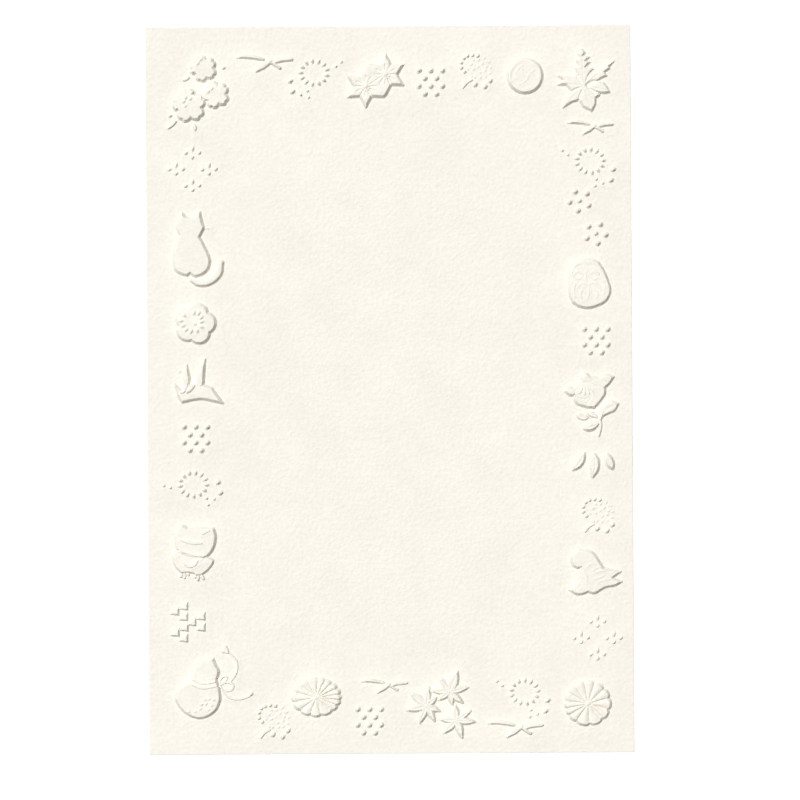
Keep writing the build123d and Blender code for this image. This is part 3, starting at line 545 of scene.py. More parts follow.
def slope_up(share):
    """A slope from 0 to 1 that is straight but for its rounded foot and shoulder."""
    share = np.clip(share, 0, 1)
    steep = 1 / (1 - SHOULDER_SHARE)
    foot = steep * share ** 2 / (2 * SHOULDER_SHARE)
    shoulder = 1 - steep * (1 - share) ** 2 / (2 * SHOULDER_SHARE)
    straight = steep * (share - SHOULDER_SHARE / 2)
    return np.where(share < SHOULDER_SHARE, foot, np.where(share > 1 - SHOULDER_SHARE, shoulder, straight))


class Mark:
    """A raised or sunk mark: its layer, its bounds, how it meets the marks before it, and its slope."""

    def __init__(self, layer, points, margin, join, share, rise, slope, levels):
        self.layer, self.join, self.share, self.rise, self.levels = layer, join, share, rise, levels
        self.low, self.high = points.min(0) - margin, points.max(0) + margin
        self.cell = min(max(slope / 4, TRACE_CELL / 2), TRACE_CELL)
        self.creases = []
        marks.append(self)

    def height(self, places):
        return self.rise * slope_up(self.share(places))

    def reaches(self, places):
        return ((places > self.low) & (places < self.high)).all(1)


def raise_over(below, height):
    return np.where(height > 0, np.maximum(below, height), below)


def sink_under(below, height):
    return np.where(height < 0, np.minimum(below, height), below)


def cut_into(below, height):
    return np.maximum(below + height, np.minimum(below, 0))


def lay_over(below, height):
    return np.where(np.isnan(height), below, height)


def press(corners, rise=FORM_RISE, levels=SLOPE_LEVELS):
    """Raises a form; its corners are those of the outline halfway up the slope."""
    slope = rise * SLOPE_SHARE

    def share(places):
        return depth_in_outline(corners, places) / slope + 0.5

    Mark("form", corners, slope, raise_over, share, rise, slope, levels)


def fullness(spine, shares):
    return np.interp(np.linspace(0, 1, len(spine)), np.linspace(0, 1, len(shares)), shares)


def stroke(layer, pixels, width, shares, rise, slope, join, levels):
    """Raises or sinks a stroke along a curve through a few pixels."""
    spine = curve([on_sheet(p) for p in pixels])
    half_width = width / 2 * fullness(spine, shares)
    slope = min(slope, width * 0.9)

    def share(places):
        return depth_in_stroke(spine, half_width, places) / slope + 0.5

    mark = Mark(layer, spine, width / 2 + slope, join, share, rise, slope, levels)
    mark.creases.append(spine[::2])


def press_stroke(pixels, width, shares, rise):
    stroke("form", pixels, width, shares, rise, rise * SLOPE_SHARE, raise_over, SLOPE_LEVELS)


def crest(pixels, width, rise):
    """Raises a fine line that stands on a form."""
    stroke("line", pixels, width, LINE_TAPER, rise, CREST_SLOPE, raise_over, LINE_LEVELS)


def groove(pixels, width, depth):
    """Sinks a fine line into a form."""
    stroke("line", pixels, width, LINE_TAPER, -depth, CREST_SLOPE, sink_under, LINE_LEVELS)


def furrow(pixels, width, depth, slope, shares):
    """Cuts a deep line into a form, so that it shows on the back too."""
    stroke("form", pixels, width, shares, -depth, slope, cut_into, LINE_LEVELS)


def dome(layer, spot, width, length, degrees, rise, fall, levels):
    """Raises a small round or oval dome, measured across its foot."""
    def share(places):
        step = places - spot
        u, v = step @ heading(degrees), step @ heading(degrees + 90)
        return (1 - np.hypot(2 * u / length, 2 * v / width)) * fall

    Mark(layer, np.array([spot]), max(width, length) * 0.6, raise_over, share, rise, width / 3, levels)


def press_dot(spot, width, length, degrees, rise=None):
    rise = rise or width * DOT_RISE_SHARE
    dome("form", spot, width, length, degrees, rise, DOT_FALL, SLOPE_LEVELS)


def crest_dot(pixel, width, length, degrees, rise):
    dome("line", on_sheet(pixel), width, length, degrees, rise, 1.0, DOME_LEVELS)


def each(tool, places, sizes):
    """Makes the same kind of mark at each of several places."""
    for place in places:
        tool(place, *sizes)


def blossom(spot, reach, radius, first_degrees, nick=0.0):
    """The outline of five round petals, each an arc from one notch to the next with a nick at its tip."""
    half_turn = 36
    to_notch = math.degrees(math.acos(min(1, reach * math.sin(math.radians(half_turn)) / radius)))
    half_arc = 90 + half_turn - to_notch
    made = []
    for petal in range(5):
        middle = first_degrees + 2 * half_turn * petal
        for turn in np.linspace(-half_arc, half_arc, 24, endpoint=False):
            nicked = radius * (1 - nick * math.exp(-(turn / 16) ** 2))
            made.append(spot + heading(middle, reach) + heading(middle + turn, nicked))
    return np.array(made)


def cherry_spray():
    for middle, (reach, radius), first in CHERRY_PIXELS:
        press(blossom(on_sheet(middle), reach * PIXEL, radius * PIXEL, first, CHERRY_NICK))
    each(crest_dot, CHERRY_STAMEN_PIXELS, CHERRY_STAMEN)
    each(press_stroke, TWIG_PIXELS, TWIG)
    for bud in BUD_PIXELS:
        press_dot(on_sheet(bud), *CHERRY_BUD)


def bird(shoulder, size):
    for limb, width, shares in BIRD_LIMB_PIXELS:
        press_stroke([about(shoulder, p, size) for p in limb], width * size, shares, BIRD_RISE)


def dash_ring(centre, side, turn_degrees, first_degrees):
    """A ring of dashes that point at its middle, with loose seeds about it."""
    spot = on_sheet(centre)
    for dash in range(DASH_RING_DASHES):
        degrees = first_degrees + 360 * dash / DASH_RING_DASHES
        step = heading(degrees) * np.array(DASH_RING_REACH_PIXELS) * PIXEL
        press_dot(spot + step, *RING_DASH, degrees)
    turn = heading(turn_degrees)
    for seeds, seed in ((LARGE_SEED_PIXELS, LARGE_SEED), (SMALL_SEED_PIXELS, SMALL_SEED)):
        for x, y in seeds:
            step = on_sheet(about(centre, (x * side, y))) - spot
            turned = np.array((step[0] * turn[0] - step[1] * turn[1], step[0] * turn[1] + step[1] * turn[0]))
            press_dot(spot + turned, *seed)


def hemp_leaves():
    """Two six-pointed stars that share two tips, pressed as one form."""
    tip, notch = (reach * PIXEL for reach in HEMP_STAR_REACH_PIXELS)
    stars = []
    for middle in HEMP_STAR_PIXELS:
        spot = on_sheet(middle)
        stars.append([spot + heading(90 + 30 * step, notch if step % 2 else tip) for step in range(12)])
    lower, upper = stars
    press(np.array(lower[:9] + upper[6:] + upper[:3]), levels=POINTED_LEVELS)
    for middle, corners in zip(HEMP_STAR_PIXELS, stars):
        hemp_star(middle, np.array(corners), tip, notch)


def hemp_star(middle, corners, tip, notch):
    """Folds one star up along the line to every tip and down along the line to every notch."""
    spot = on_sheet(middle)

    def folded(places):
        step = places - spot
        turn = np.degrees(np.arctan2(step[:, 1], step[:, 0])) - 90
        fold = 1 - np.abs((turn + 30) % 60 - 30) / 15
        reach = np.hypot(step[:, 0], step[:, 1])
        room = np.clip(reach / (0.3 * notch), 0, 1) * np.clip((tip - reach) / (0.5 * tip), 0, 1)
        inside = slope_up(depth_in_outline(corners, places) / FORM_RISE + 0.2)
        return np.where(inside > 0, HEMP_FOLD / 2 * fold * room * inside, np.nan)

    fold = Mark("line", corners, 0, lay_over, None, 0, 1, ())
    fold.height = folded
    for corner in corners:
        fold.creases.append(spot + (corner - spot) * np.linspace(0, 1, 9)[:, None])
    for ray in range(12):
        furrow([about(middle, heading(90 + 30 * ray, reach)) for reach in HEMP_RAY_REACH_PIXELS], *HEMP_RAY)
    crest_dot(middle, *HEMP_HEART)


def fawn_spots(first):
    for row, count in enumerate(GRID_ROWS):
        for column in range(count):
            step = ((column + (3 - count) / 2) * GRID_PITCH_PIXELS[0], row * GRID_PITCH_PIXELS[1])
            press_dot(on_sheet(about(first, step)), *FAWN_SPOT)


def dotted_ball(centre):
    for steps, dot in (
            (BALL_RING_PIXELS, BALL_DOT), (BALL_SPECK_PIXELS, BALL_SPECK), (BALL_SEED_PIXELS, BALL_SEED)):
        for step in steps:
            press_dot(on_sheet(about(centre, step)), *dot)
    press_stroke([about(centre, p) for p in BALL_LEAF_PIXELS], *BALL_LEAF)


def roundel():
    """A round boss, hollowed a little, with faint marks on its crown."""
    spot = on_sheet(ROUNDEL_CENTRE_PIXELS)
    press(np.array([spot + heading(degrees, ROUNDEL_RADIUS) for degrees in range(0, 360, 6)]))

    def sunk(places):
        return (ROUNDEL_RADIUS - ROUNDEL_RIM - np.hypot(*(places - spot).T)) / ROUNDEL_RIM + 0.5

    Mark("line", spot[None], ROUNDEL_RADIUS, np.add, sunk, -ROUNDEL_RECESS, ROUNDEL_RIM, LINE_LEVELS)
    stroke("line", ROUNDEL_HOLLOW_PIXELS, *ROUNDEL_HOLLOW, np.add, LINE_LEVELS)
    for line in ROUNDEL_LINE_PIXELS:
        stroke("line", line, *ROUNDEL_LINE, np.add, LINE_LEVELS)
    for speck in ROUNDEL_SPECK_PIXELS:
        stroke("line", (speck, about(speck, (0.8, 0.6))), *ROUNDEL_SPECK, np.add, LINE_LEVELS)


def maple_leaf():
    """A leaf with toothed lobes, a faint vein along each and a furrow from every notch."""
    press(outline_at(MAPLE_OUTLINE_PIXELS), LEAF_RISE, POINTED_LEVELS)
    for tip in MAPLE_TIP_PIXELS:
        groove((MAPLE_HEART_PIXELS, tip), *MAPLE_VEIN)
    for notch in MAPLE_NOTCH_PIXELS:
        furrow((notch, part_way(MAPLE_HEART_PIXELS, notch, MAPLE_NOTCH_REACH)), *MAPLE_NOTCH_FURROW)
    furrow(MAPLE_FURROW_PIXELS, *MAPLE_FURROW)


def dot_plum(centre, first_degrees):
    """Five dots about a smaller one."""
    spot = on_sheet(centre)
    press_dot(spot, *DOT_PLUM_HEART)
    for petal in range(5):
        press_dot(spot + heading(first_degrees + 72 * petal, DOT_PLUM_REACH), *DOT_PLUM_PETAL)


def daruma():
    """A seated round figure in a hood, with faint folds and features."""
    press(outline(DARUMA_OUTLINE_PIXELS))
    groove(DARUMA_HOOD_PIXELS, *DARUMA_HOOD_LINE)
    each(crest, DARUMA_LINE_PIXELS, FAINT_LINE)


def leaf(pixels, width_pixels, rise=FORM_RISE):
    """A leaf with a sunk midrib."""
    press_stroke(pixels, width_pixels * PIXEL, LEAF_TAPER, rise)
    groove(pixels, *LEAF_MIDRIB)


def camellia():
    press(outline(CAMELLIA_OUTLINE_PIXELS))
    each(groove, CAMELLIA_PETAL_PIXELS, FAINT_LINE)
    each(crest, CAMELLIA_STAMEN_PIXELS, CAMELLIA_STAMEN)
    press(outline(CAMELLIA_RIGHT_LEAF_PIXELS), LEAF_RISE, POINTED_LEVELS)
    groove(CAMELLIA_MIDRIB_PIXELS, *CAMELLIA_MIDRIB)
    for pixels, width, rise in CAMELLIA_LEAF_PIXELS:
        leaf(pixels, width, rise)
    press_stroke(CAMELLIA_STEM_PIXELS, *CAMELLIA_STEM)


def duck():
    press(outline(DUCK_OUTLINE_PIXELS), levels=POINTED_LEVELS)
    each(crest, DUCK_FEATHER_PIXELS, FAINT_LINE)
    crest_dot(DUCK_EYE_PIXELS, *DUCK_EYE)


def charm(centre):
    for group in CHARM_GROUP_PIXELS:
        middle = about(centre, group)
        for step in CHARM_DOT_PIXELS:
            press_dot(on_sheet(about(middle, step)), *CHARM_DOT)
        press_dot(on_sheet(about(middle, CHARM_DASH_PIXELS)), *CHARM_DASH)


def gourd():
    """A bottle gourd tied at its waist with a thin cord that ends in two tassels."""
    press(outline(GOURD_OUTLINE_PIXELS))
    each(crest, GOURD_BAND_PIXELS, GOURD_BAND)
    crest(GOURD_RING_PIXELS, *GOURD_RING)
    each(crest_dot, GOURD_SPOT_PIXELS, GOURD_SPOT)
    each(press_stroke, GOURD_BOW_PIXELS, GOURD_BOW)
    each(press_stroke, GOURD_CORD_PIXELS, GOURD_CORD)
    each(press_stroke, GOURD_TASSEL_PIXELS, GOURD_TASSEL)
    press_dot(on_sheet(GOURD_BEAD_PIXELS), *GOURD_BEAD)


def chrysanthemum(centre, half_size, furrow_degrees):
    """A full flower of domed petals, with a scalloped rim and a furrow between each two petals."""
    spot = on_sheet(centre)
    half = np.array(half_size) * PIXEL
    ends = np.array(furrow_degrees + (furrow_degrees[0] + 360,))

    def off_middle(degrees):
        petal = np.interp((degrees - ends[0]) % 360 + ends[0], ends, np.arange(len(ends)))
        return 2 * np.abs(petal % 1 - 0.5)

    rim = []
    for degrees in range(0, 360, 3):
        notched = 1 - CHRYSANTHEMUM_NOTCH_SHARE * off_middle(degrees) ** 3
        rim.append(spot + heading(degrees) * half * notched)
    rim = np.array(rim)
    press(rim)

    def furrowed(places):
        u, v = ((places - spot) / half).T
        valley = off_middle(np.degrees(np.arctan2(v, u))) ** PETAL_ROUNDNESS
        valley = valley * slope_up(np.hypot(u, v) / CHRYSANTHEMUM_HEART_SHARE - 0.12)
        return -PETAL_FURROW * valley * slope_up(depth_in_outline(rim, places) / FORM_RISE + 0.3)

    petals = Mark("form", rim, 0, cut_into, None, 0, 1, ())
    petals.height = furrowed
    for start, end in zip(ends, ends[1:]):
        for share in PETAL_TRACE_SHARES:
            reach = np.linspace(0.06, 1.0, 10)[:, None]
            petals.creases.append(spot + heading(start + share * (end - start)) * half * reach)
    crest_dot(centre, *CHRYSANTHEMUM_HEART)


def small_maples():
    """Three fallen leaves of slender lobes, with a faint vein along each."""
    for middle, lobes in SMALL_MAPLE_PIXELS:
        for tip, width in lobes:
            spine = [part_way(middle, tip, share) for share in (0.02, 0.5, 1.0)]
            press_stroke(spine, width * SMALL_MAPLE_FULLNESS * PIXEL, LOBE_TAPER, LEAF_RISE)
        for tip, _ in lobes:
            groove([part_way(middle, tip, share) for share in (0.1, 0.45, 0.8)], *SMALL_MAPLE_VEIN)


def cat():
    press(outline(CAT_OUTLINE_PIXELS), levels=POINTED_LEVELS)
    press_stroke(CAT_TAIL_PIXELS, *CAT_TAIL)
    press_stroke(CAT_WHISKER_PIXELS, *CAT_WHISKER)


def plum():
    press(blossom(on_sheet(PLUM_CENTRE_PIXELS), PLUM_PETAL_REACH, PLUM_PETAL_RADIUS, PLUM_TURN_DEGREES))
    crest_dot(PLUM_CENTRE_PIXELS, *PLUM_HEART)
    for stamen in PLUM_STAMEN_PIXELS:
        step = np.array(stamen) - PLUM_CENTRE_PIXELS
        degrees = math.degrees(math.atan2(-step[1], step[0]))
        crest_dot(stamen, *PLUM_STAMEN, degrees, PLUM_STAMEN_RISE)


def crane():
    """A folded paper crane: its body, its two raised wings and the tip of its head."""
    press(outline(CRANE_BODY_PIXELS), levels=POINTED_LEVELS)
    for wing in CRANE_WING_PIXELS:
        press(outline_at(wing), levels=POINTED_LEVELS)
    for fold in CRANE_FOLD_PIXELS:
        stroke("line", fold, *CRANE_FOLD, raise_over, SLOPE_LEVELS)
    press_dot(on_sheet(CRANE_HEAD_PIXELS), *CRANE_HEAD)


def sparrow():
    press(outline(SPARROW_BELLY_PIXELS), UNDER_FORM_RISE)
    meets_belly = UNDER_FORM_RISE / FORM_RISE * (1 - SHOULDER_SHARE) + SHOULDER_SHARE / 2
    press(outline(SPARROW_HOOD_PIXELS), levels=SLOPE_LEVELS + (meets_belly - 0.015, meets_belly + 0.015))
    each(crest, SPARROW_LINE_PIXELS, SPARROW_LINE)
    each(crest_dot, SPARROW_SPECK_PIXELS, SPARROW_SPECK)
    each(press_stroke, SPARROW_TOE_PIXELS, SPARROW_TOE)


def scales():
    for mark in SCALE_PIXELS:
        corners = [about(mark, corner) for corner in SCALE_CORNER_PIXELS]
        press(outline_at(corners), SCALE_RISE, POINTED_LEVELS)


def press_border():
    """Presses every ornament of the border into the page."""
    cherry_spray()
    for place in BIRD_PLACE_PIXELS:
        bird(*place)
    for place in DASH_RING_PLACE_PIXELS:
        dash_ring(*place)
    hemp_leaves()
    for place in GRID_PLACE_PIXELS:
        fawn_spots(place)
    for place in BALL_PLACE_PIXELS:
        dotted_ball(place)
    roundel()
    maple_leaf()
    for place in DOT_PLUM_PLACE_PIXELS:
        dot_plum(*place)
    daruma()
    camellia()
    for pixels, width in SPRAY_LEAF_PIXELS:
        leaf(pixels, width)
    duck()
    for place in CHARM_PLACE_PIXELS:
        charm(place)
    gourd()
    for place in CHRYSANTHEMUM_PLACE_PIXELS:
        chrysanthemum(*place)
    small_maples()
    cat()
    plum()
    crane()
    sparrow()
    scales()


# Which sides of a cell a line crosses, for each set of its corners that lie above the line
CROSSED_SIDES = {
    1: ((0, 3),), 2: ((0, 1),), 3: ((3, 1),), 4: ((1, 2),), 5: ((0, 3), (1, 2)),
    6: ((0, 2),), 7: ((2, 3),), 8: ((2, 3),), 9: ((0, 2),), 10: ((0, 1), (2, 3)),
    11: ((1, 2),), 12: ((1, 3),), 13: ((0, 1),), 14: ((0, 3),),
}


def level_lines(places, value):
    """The lines along which a value on a grid of places passes through zero, as closed runs of points."""
    over = (value > 0).astype(int)
    columns = value.shape[1]
    across_sides = np.arange(value.size).reshape(value.shape)
    upward_sides = across_sides + value.size
    sides = (across_sides[:-1, :-1], upward_sides[:-1, 1:], across_sides[1:, :-1], upward_sides[:-1, :-1])
    kind = over[:-1, :-1] + 2 * over[:-1, 1:] + 4 * over[1:, 1:] + 8 * over[1:, :-1]
    links = {}
    for case, pairs in CROSSED_SIDES.items():
        here = kind == case
        for one, other in pairs:
            for a, b in zip(sides[one][here].tolist(), sides[other][here].tolist()):
                links.setdefault(a, []).append(b)
                links.setdefault(b, []).append(a)
    flat, value = places.reshape(-1, 2), value.ravel()
    runs = []
    while links:
        first = next(iter(links))
        run, before, here = [], None, first
        while here in links:
            run.append(here)
            ahead = links.pop(here)
            before, here = here, ahead[-1] if ahead[0] == before else ahead[0]
        side = np.array(run)
        start = side % value.size
        end = start + np.where(side < value.size, 1, columns)
        share = value[start] / (value[start] - value[end])
        runs.append(flat[start] + share[:, None] * (flat[end] - flat[start]))
    return runs


def traced_lines(mark):
    """The closed lines along which a mark's slope reaches each of its levels."""
    if not mark.levels:
        return []
    x, y = (np.arange(low, high + mark.cell, mark.cell) for low, high in zip(mark.low, mark.high))
    places = np.stack(np.meshgrid(x, y), -1)
    share = mark.share(places.reshape(-1, 2)).reshape(places.shape[:2])
    return [run for level in mark.levels for run in level_lines(places, share - level)]


def thinned(run, slack):
    """A closed run of points without those that its neighbours stand for."""
    run = np.concatenate((run, run[:1]))
    kept, start = [0], 0
    for end in range(2, len(run)):
        chord = run[end] - run[start]
        length = math.hypot(*chord)
        off = run[start + 1:end] - run[start]
        stray = np.abs(off[:, 0] * chord[1] - off[:, 1] * chord[0]).max() / max(length, 1e-9)
        if stray > slack or length > LONGEST_RUN:
            start = end - 1
            kept.append(start)
    return run[kept]


def paper_height(places, layers):
    """How far the marks of some layers stand above the page at each place."""
    total = np.zeros(len(places))
    for layer in layers:
        height = np.zeros(len(places))
        for mark in marks:
            if mark.layer != layer:
                continue
            near = mark.reaches(places)
            if near.any():
                height[near] = mark.join(height[near], mark.height(places[near]))
        total += height
    return total


def paper_skin(traced, layers, slack):
    """One face of the paper: its points, their heights and tilts, and the triangles between them."""
    columns = np.linspace(-SHEET_WIDTH / 2, SHEET_WIDTH / 2, round(SHEET_WIDTH / PAGE_CELL) + 1)
    rows = np.linspace(-SHEET_LENGTH / 2, SHEET_LENGTH / 2, round(SHEET_LENGTH / PAGE_CELL) + 1)
    points = [(x, y) for x in columns for y in rows]
    edges = []
    for mark, runs in zip(marks, traced):
        if mark.layer not in layers:
            continue
        for run in runs:
            kept = thinned(run, slack)
            if len(kept) > 2:
                numbers = range(len(points), len(points) + len(kept))
                edges += list(zip(numbers, list(numbers[1:]) + [numbers[0]]))
                points += kept.tolist()
        for crease in mark.creases:
            numbers = range(len(points), len(points) + len(crease))
            edges += list(zip(numbers, numbers[1:]))
            points += crease.tolist()
    made = delaunay_2d_cdt([Vector(point) for point in points], edges, [], 0, 1e-4, False)
    places = np.array([tuple(point) for point in made[0]], float)
    tilt = []
    for step in ((PROBE, 0), (0, PROBE)):
        ahead, behind = paper_height(places + step, layers), paper_height(places - np.array(step), layers)
        tilt.append((ahead - behind) / (2 * PROBE))
    normal = np.stack((-tilt[0], -tilt[1], np.ones(len(places))), 1)
    normal /= np.linalg.norm(normal, axis=1)[:, None]
    return places, paper_height(places, layers), normal, np.array(made[2])


def rim_points(places):
    """The points along the sheet's edge, in turn."""
    x, y = places[:, 0] / SHEET_WIDTH, places[:, 1] / SHEET_LENGTH
    on_rim = np.flatnonzero(np.maximum(np.abs(x), np.abs(y)) > EDGE_SHARE)
    return on_rim[np.argsort(np.arctan2(y[on_rim], x[on_rim]))]


def letter_sheet_mesh():
    """The whole sheet as one closed skin: its face, its back and its cut edges."""
    traced = [traced_lines(mark) for mark in marks]
    front, front_height, front_normal, front_faces = paper_skin(traced, ("form", "line"), FRONT_SLACK)
    back, back_height, back_normal, back_faces = paper_skin(traced, ("form",), BACK_SLACK)
    points = np.concatenate((
        np.column_stack((front, front_height + PAPER_THICKNESS)), np.column_stack((back, back_height)))) * MM
    point_normal = np.concatenate((front_normal, -back_normal))
    skin = np.concatenate((front_faces, back_faces[:, ::-1] + len(front)))
    upper, lower = rim_points(front), rim_points(back) + len(front)
    wall = np.stack((np.roll(upper, 1), np.roll(lower, 1), lower, upper), 1)
    along_wall = points[wall[:, 3]] - points[wall[:, 0]]
    wall_normal = np.stack((along_wall[:, 1], -along_wall[:, 0], np.zeros(len(wall))), 1)
    wall_normal /= np.linalg.norm(wall_normal, axis=1)[:, None]
    mesh = bpy.data.meshes.new("letter_sheet_paper")
    mesh.from_pydata(points.tolist(), [], skin.tolist() + wall.tolist())
    mesh.polygons.foreach_set("material_index", [0] * len(skin) + [1] * len(wall))
    mesh.polygons.foreach_set("use_smooth", [True] * len(mesh.polygons))
    corner_normal = np.concatenate((point_normal[skin.ravel()], wall_normal.repeat(4, 0)))
    mesh.normals_split_custom_set(corner_normal.tolist())
    mesh.update()
    return mesh


# The upright share of the surface's lie where paper counts as level and as steep for the painted shade on
# slopes, and the range of its fibre shade
LEVEL_LIE = 0.98
STEEP_LIE = 0.62
SHADE_RANGE = (0.34, 0.66)

# Colours of the darkest and lightest fibres, and the painted shade that a steep slope's colour is multiplied
# by
FACE_COLOURS = ((0.915, 0.874, 0.786), (1.0, 0.967, 0.878))
EDGE_COLOURS = ((0.86, 0.82, 0.73), (0.95, 0.91, 0.82))
PAINTED_SLOPE_SHADE = (0.945, 0.94, 0.93)


def wire(owner, output, target):
    owner.node_tree.links.new(output, target)


def set_sockets(node, values):
    for name, value in values.items():
        node.inputs[name].default_value = value


def paper_stock_group():
    """Fibre and tooth of uncoated paper: a shade that varies over the sheet, and the height of its tooth."""
    group = bpy.data.node_groups.new("paper_stock", "ShaderNodeTree")
    for name, value in (("Tooth Size", 0.0008), ("Cloud Size", 0.012), ("Fibre Size", 0.004)):
        socket = group.interface.new_socket(name, in_out="INPUT", socket_type="NodeSocketFloat")
        socket.default_value = value
    group.interface.new_socket("Shade", in_out="OUTPUT", socket_type="NodeSocketFloat")
    group.interface.new_socket("Tooth", in_out="OUTPUT", socket_type="NodeSocketFloat")
    nodes, links = group.nodes, group.links
    given = nodes.new("NodeGroupInput")
    result = nodes.new("NodeGroupOutput")
    coordinates = nodes.new("ShaderNodeTexCoord")

    def noise(size_name, detail, roughness, offset, scale_by=(1, 1, 1)):
        frequency = nodes.new("ShaderNodeMath")
        frequency.operation = "DIVIDE"
        frequency.inputs[0].default_value = 1.0
        links.new(given.outputs[size_name], frequency.inputs[1])
        placed = nodes.new("ShaderNodeMapping")
        set_sockets(placed, {"Location": offset, "Scale": scale_by})
        links.new(coordinates.outputs["Object"], placed.inputs["Vector"])
        texture = nodes.new("ShaderNodeTexNoise")
        set_sockets(texture, {"Detail": detail, "Roughness": roughness})
        links.new(placed.outputs["Vector"], texture.inputs["Vector"])
        links.new(frequency.outputs[0], texture.inputs["Scale"])
        return texture.outputs["Fac"]

    def combine(operation, one, other):
        node = nodes.new("ShaderNodeMath")
        node.operation = operation
        for socket, value in zip(node.inputs, (one, other)):
            if isinstance(value, (int, float)):
                socket.default_value = value
            else:
                links.new(value, socket)
        return node.outputs[0]

    tooth = noise("Tooth Size", 3.0, 0.6, (0.1, 0.3, 0.7))
    cloud = noise("Cloud Size", 2.0, 0.5, (0.5, 0.2, 0.1))
    fibre = noise("Fibre Size", 4.0, 0.7, (0.2, 0.9, 0.4), (1.0, 3.5, 1.0))
    shade = combine("ADD", combine("MULTIPLY", tooth, 0.5), combine("MULTIPLY", fibre, 0.2))
    links.new(combine("ADD", shade, combine("MULTIPLY", cloud, 0.3)), result.inputs["Shade"])
    height = combine("ADD", combine("MULTIPLY", tooth, 0.8), combine("MULTIPLY", fibre, 0.2))
    links.new(height, result.inputs["Tooth"])
    return group


def paper_material(name, stock, colours, tooth_size, tooth_height, roughness, painted_slope_shade=(1, 1, 1)):
    """Matt cream paper: its fibres shade it, its tooth roughens it and its steep slopes get a painted shade.
    """
    material = bpy.data.materials.new(name)
    material.use_nodes = True
    nodes = material.node_tree.nodes
    shader = nodes["Principled BSDF"]
    set_sockets(shader, {"Roughness": roughness, "Specular IOR Level": 0.2})
    paper = nodes.new("ShaderNodeGroup")
    paper.node_tree = stock
    paper.inputs["Tooth Size"].default_value = tooth_size
    ramp = nodes.new("ShaderNodeValToRGB")
    for stop, position, colour in zip(ramp.color_ramp.elements, SHADE_RANGE, colours):
        stop.position = position
        stop.color = (*colour, 1)
    wire(material, paper.outputs["Shade"], ramp.inputs["Fac"])
    lie = nodes.new("ShaderNodeTexCoord")
    upright = nodes.new("ShaderNodeSeparateXYZ")
    wire(material, lie.outputs["Normal"], upright.inputs["Vector"])
    level = nodes.new("ShaderNodeMath")
    level.operation = "ABSOLUTE"
    wire(material, upright.outputs["Z"], level.inputs[0])
    steepness = nodes.new("ShaderNodeMapRange")
    set_sockets(steepness, {"From Min": LEVEL_LIE, "From Max": STEEP_LIE})
    wire(material, level.outputs[0], steepness.inputs["Value"])
    # Painted shade: steep slopes, lit or not, are multiplied by a darker colour
    scale_by = nodes.new("ShaderNodeMixRGB")
    scale_by.blend_type = "MULTIPLY"
    scale_by.inputs["Color2"].default_value = (*painted_slope_shade, 1)
    wire(material, steepness.outputs["Result"], scale_by.inputs["Fac"])
    wire(material, ramp.outputs["Color"], scale_by.inputs["Color1"])
    wire(material, scale_by.outputs["Color"], shader.inputs["Base Color"])
    bump = nodes.new("ShaderNodeBump")
    set_sockets(bump, {"Strength": 1.0, "Distance": tooth_height})
    wire(material, paper.outputs["Tooth"], bump.inputs["Height"])
    wire(material, bump.outputs["Normal"], shader.inputs["Normal"])
    return material


def in_scene(name, data):
    made = bpy.data.objects.new(name, data)
    bpy.context.collection.objects.link(made)
    return made


press_border()
sheet = in_scene("embossed_letter_sheet", letter_sheet_mesh())
stock = paper_stock_group()
# The face's steep slopes carry a painted shade; the cut edge has none
sheet.data.materials.append(paper_material(
    "cream_paper_face", stock, FACE_COLOURS, tooth_size=0.0010, tooth_height=0.00024, roughness=0.9,
    painted_slope_shade=PAINTED_SLOPE_SHADE))
sheet.data.materials.append(paper_material(
    "cut_paper_edge", stock, EDGE_COLOURS, tooth_size=0.0003, tooth_height=0.00005, roughness=0.95))
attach(sheet, "root")
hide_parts("letter_sheet")

# A white table top just under the sheet, that the camera sees a little brighter than the lamp lights it
TABLE_REACH = 3.0
TABLE_DROP = 0.00002
TABLE_LIFT = 0.08
table_mesh = bpy.data.meshes.new("table_top")
table_mesh.from_pydata(
    [(x * TABLE_REACH, y * TABLE_REACH, -TABLE_DROP) for x, y in ((-1, -1), (1, -1), (1, 1), (-1, 1))],
    [], [(0, 1, 2, 3)])
table_top = in_scene("table_top", table_mesh)
table_paint = bpy.data.materials.new("white_table_paint")
table_paint.use_nodes = True
table_shader = table_paint.node_tree.nodes["Principled BSDF"]
set_sockets(table_shader, {
    "Base Color": (0.97, 0.97, 0.97, 1), "Emission Color": (1, 1, 1, 1), "Roughness": 1.0,
    "Specular IOR Level": 0.0})
table_seen = table_paint.node_tree.nodes.new("ShaderNodeLightPath")
table_lift = table_paint.node_tree.nodes.new("ShaderNodeMath")
table_lift.operation = "MULTIPLY"
table_lift.inputs[1].default_value = TABLE_LIFT
wire(table_paint, table_seen.outputs["Is Camera Ray"], table_lift.inputs[0])
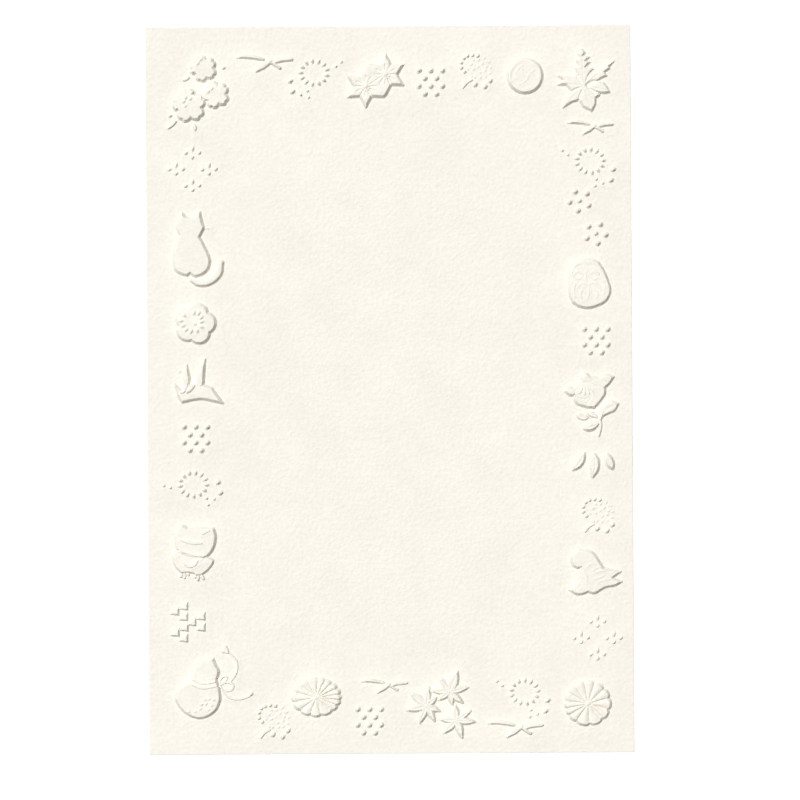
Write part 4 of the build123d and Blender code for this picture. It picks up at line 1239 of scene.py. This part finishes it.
wire(table_paint, table_lift.outputs[0], table_shader.inputs["Emission Strength"])
table_mesh.materials.append(table_paint)

# A soft lamp from the upper left, and a faint even light from all round
KEY_ELEVATION = math.radians(63)
KEY_TURN_DEGREES = 133
KEY_DISTANCE = 30.0
KEY_SIZE = 5.0
KEY_SHARE = 0.972
ROOM_STRENGTH = 0.045
towards_key = Vector((*heading(KEY_TURN_DEGREES, math.cos(KEY_ELEVATION)), math.sin(KEY_ELEVATION)))
key_light = bpy.data.lights.new("soft_key", "AREA")
key_light.shape = "DISK"
key_light.size = KEY_SIZE
# An even disk of power P lights a surface that faces it from a distance d with P / (pi * d * d)
key_light.energy = KEY_SHARE * math.pi ** 2 * KEY_DISTANCE ** 2 / math.sin(KEY_ELEVATION)
key = in_scene("soft_key", key_light)
key.location = towards_key * KEY_DISTANCE
key.rotation_mode = "QUATERNION"
key.rotation_quaternion = towards_key.to_track_quat("Z", "Y")

world = bpy.data.worlds.new("pale_room")
world.use_nodes = True
bpy.context.scene.world = world
room = world.node_tree.nodes["Background"]
room.inputs["Color"].default_value = (1, 1, 1, 1)
seen = world.node_tree.nodes.new("ShaderNodeLightPath")
strength = world.node_tree.nodes.new("ShaderNodeMapRange")
set_sockets(strength, {"To Min": ROOM_STRENGTH, "To Max": 1.0})
wire(world, seen.outputs["Is Camera Ray"], strength.inputs["Value"])
wire(world, strength.outputs["Result"], room.inputs["Strength"])

# The camera looks straight down, as far off centre and as slightly turned as in the photograph
LENS = 100.0
SENSOR = 36.0
FRAME_WIDTH = 800 * PIXEL * MM
aim = on_sheet((400, 400)) * MM
camera_data = bpy.data.cameras.new("photo_camera")
camera_data.lens = LENS
camera_data.sensor_width = SENSOR
camera = in_scene("photo_camera", camera_data)
camera.location = (aim[0], aim[1], FRAME_WIDTH * LENS / SENSOR + PAPER_THICKNESS * MM)
camera.rotation_euler = (0, 0, -SHEET_TURN)
bpy.context.scene.camera = camera
bpy.context.scene.view_settings.view_transform = "Standard"
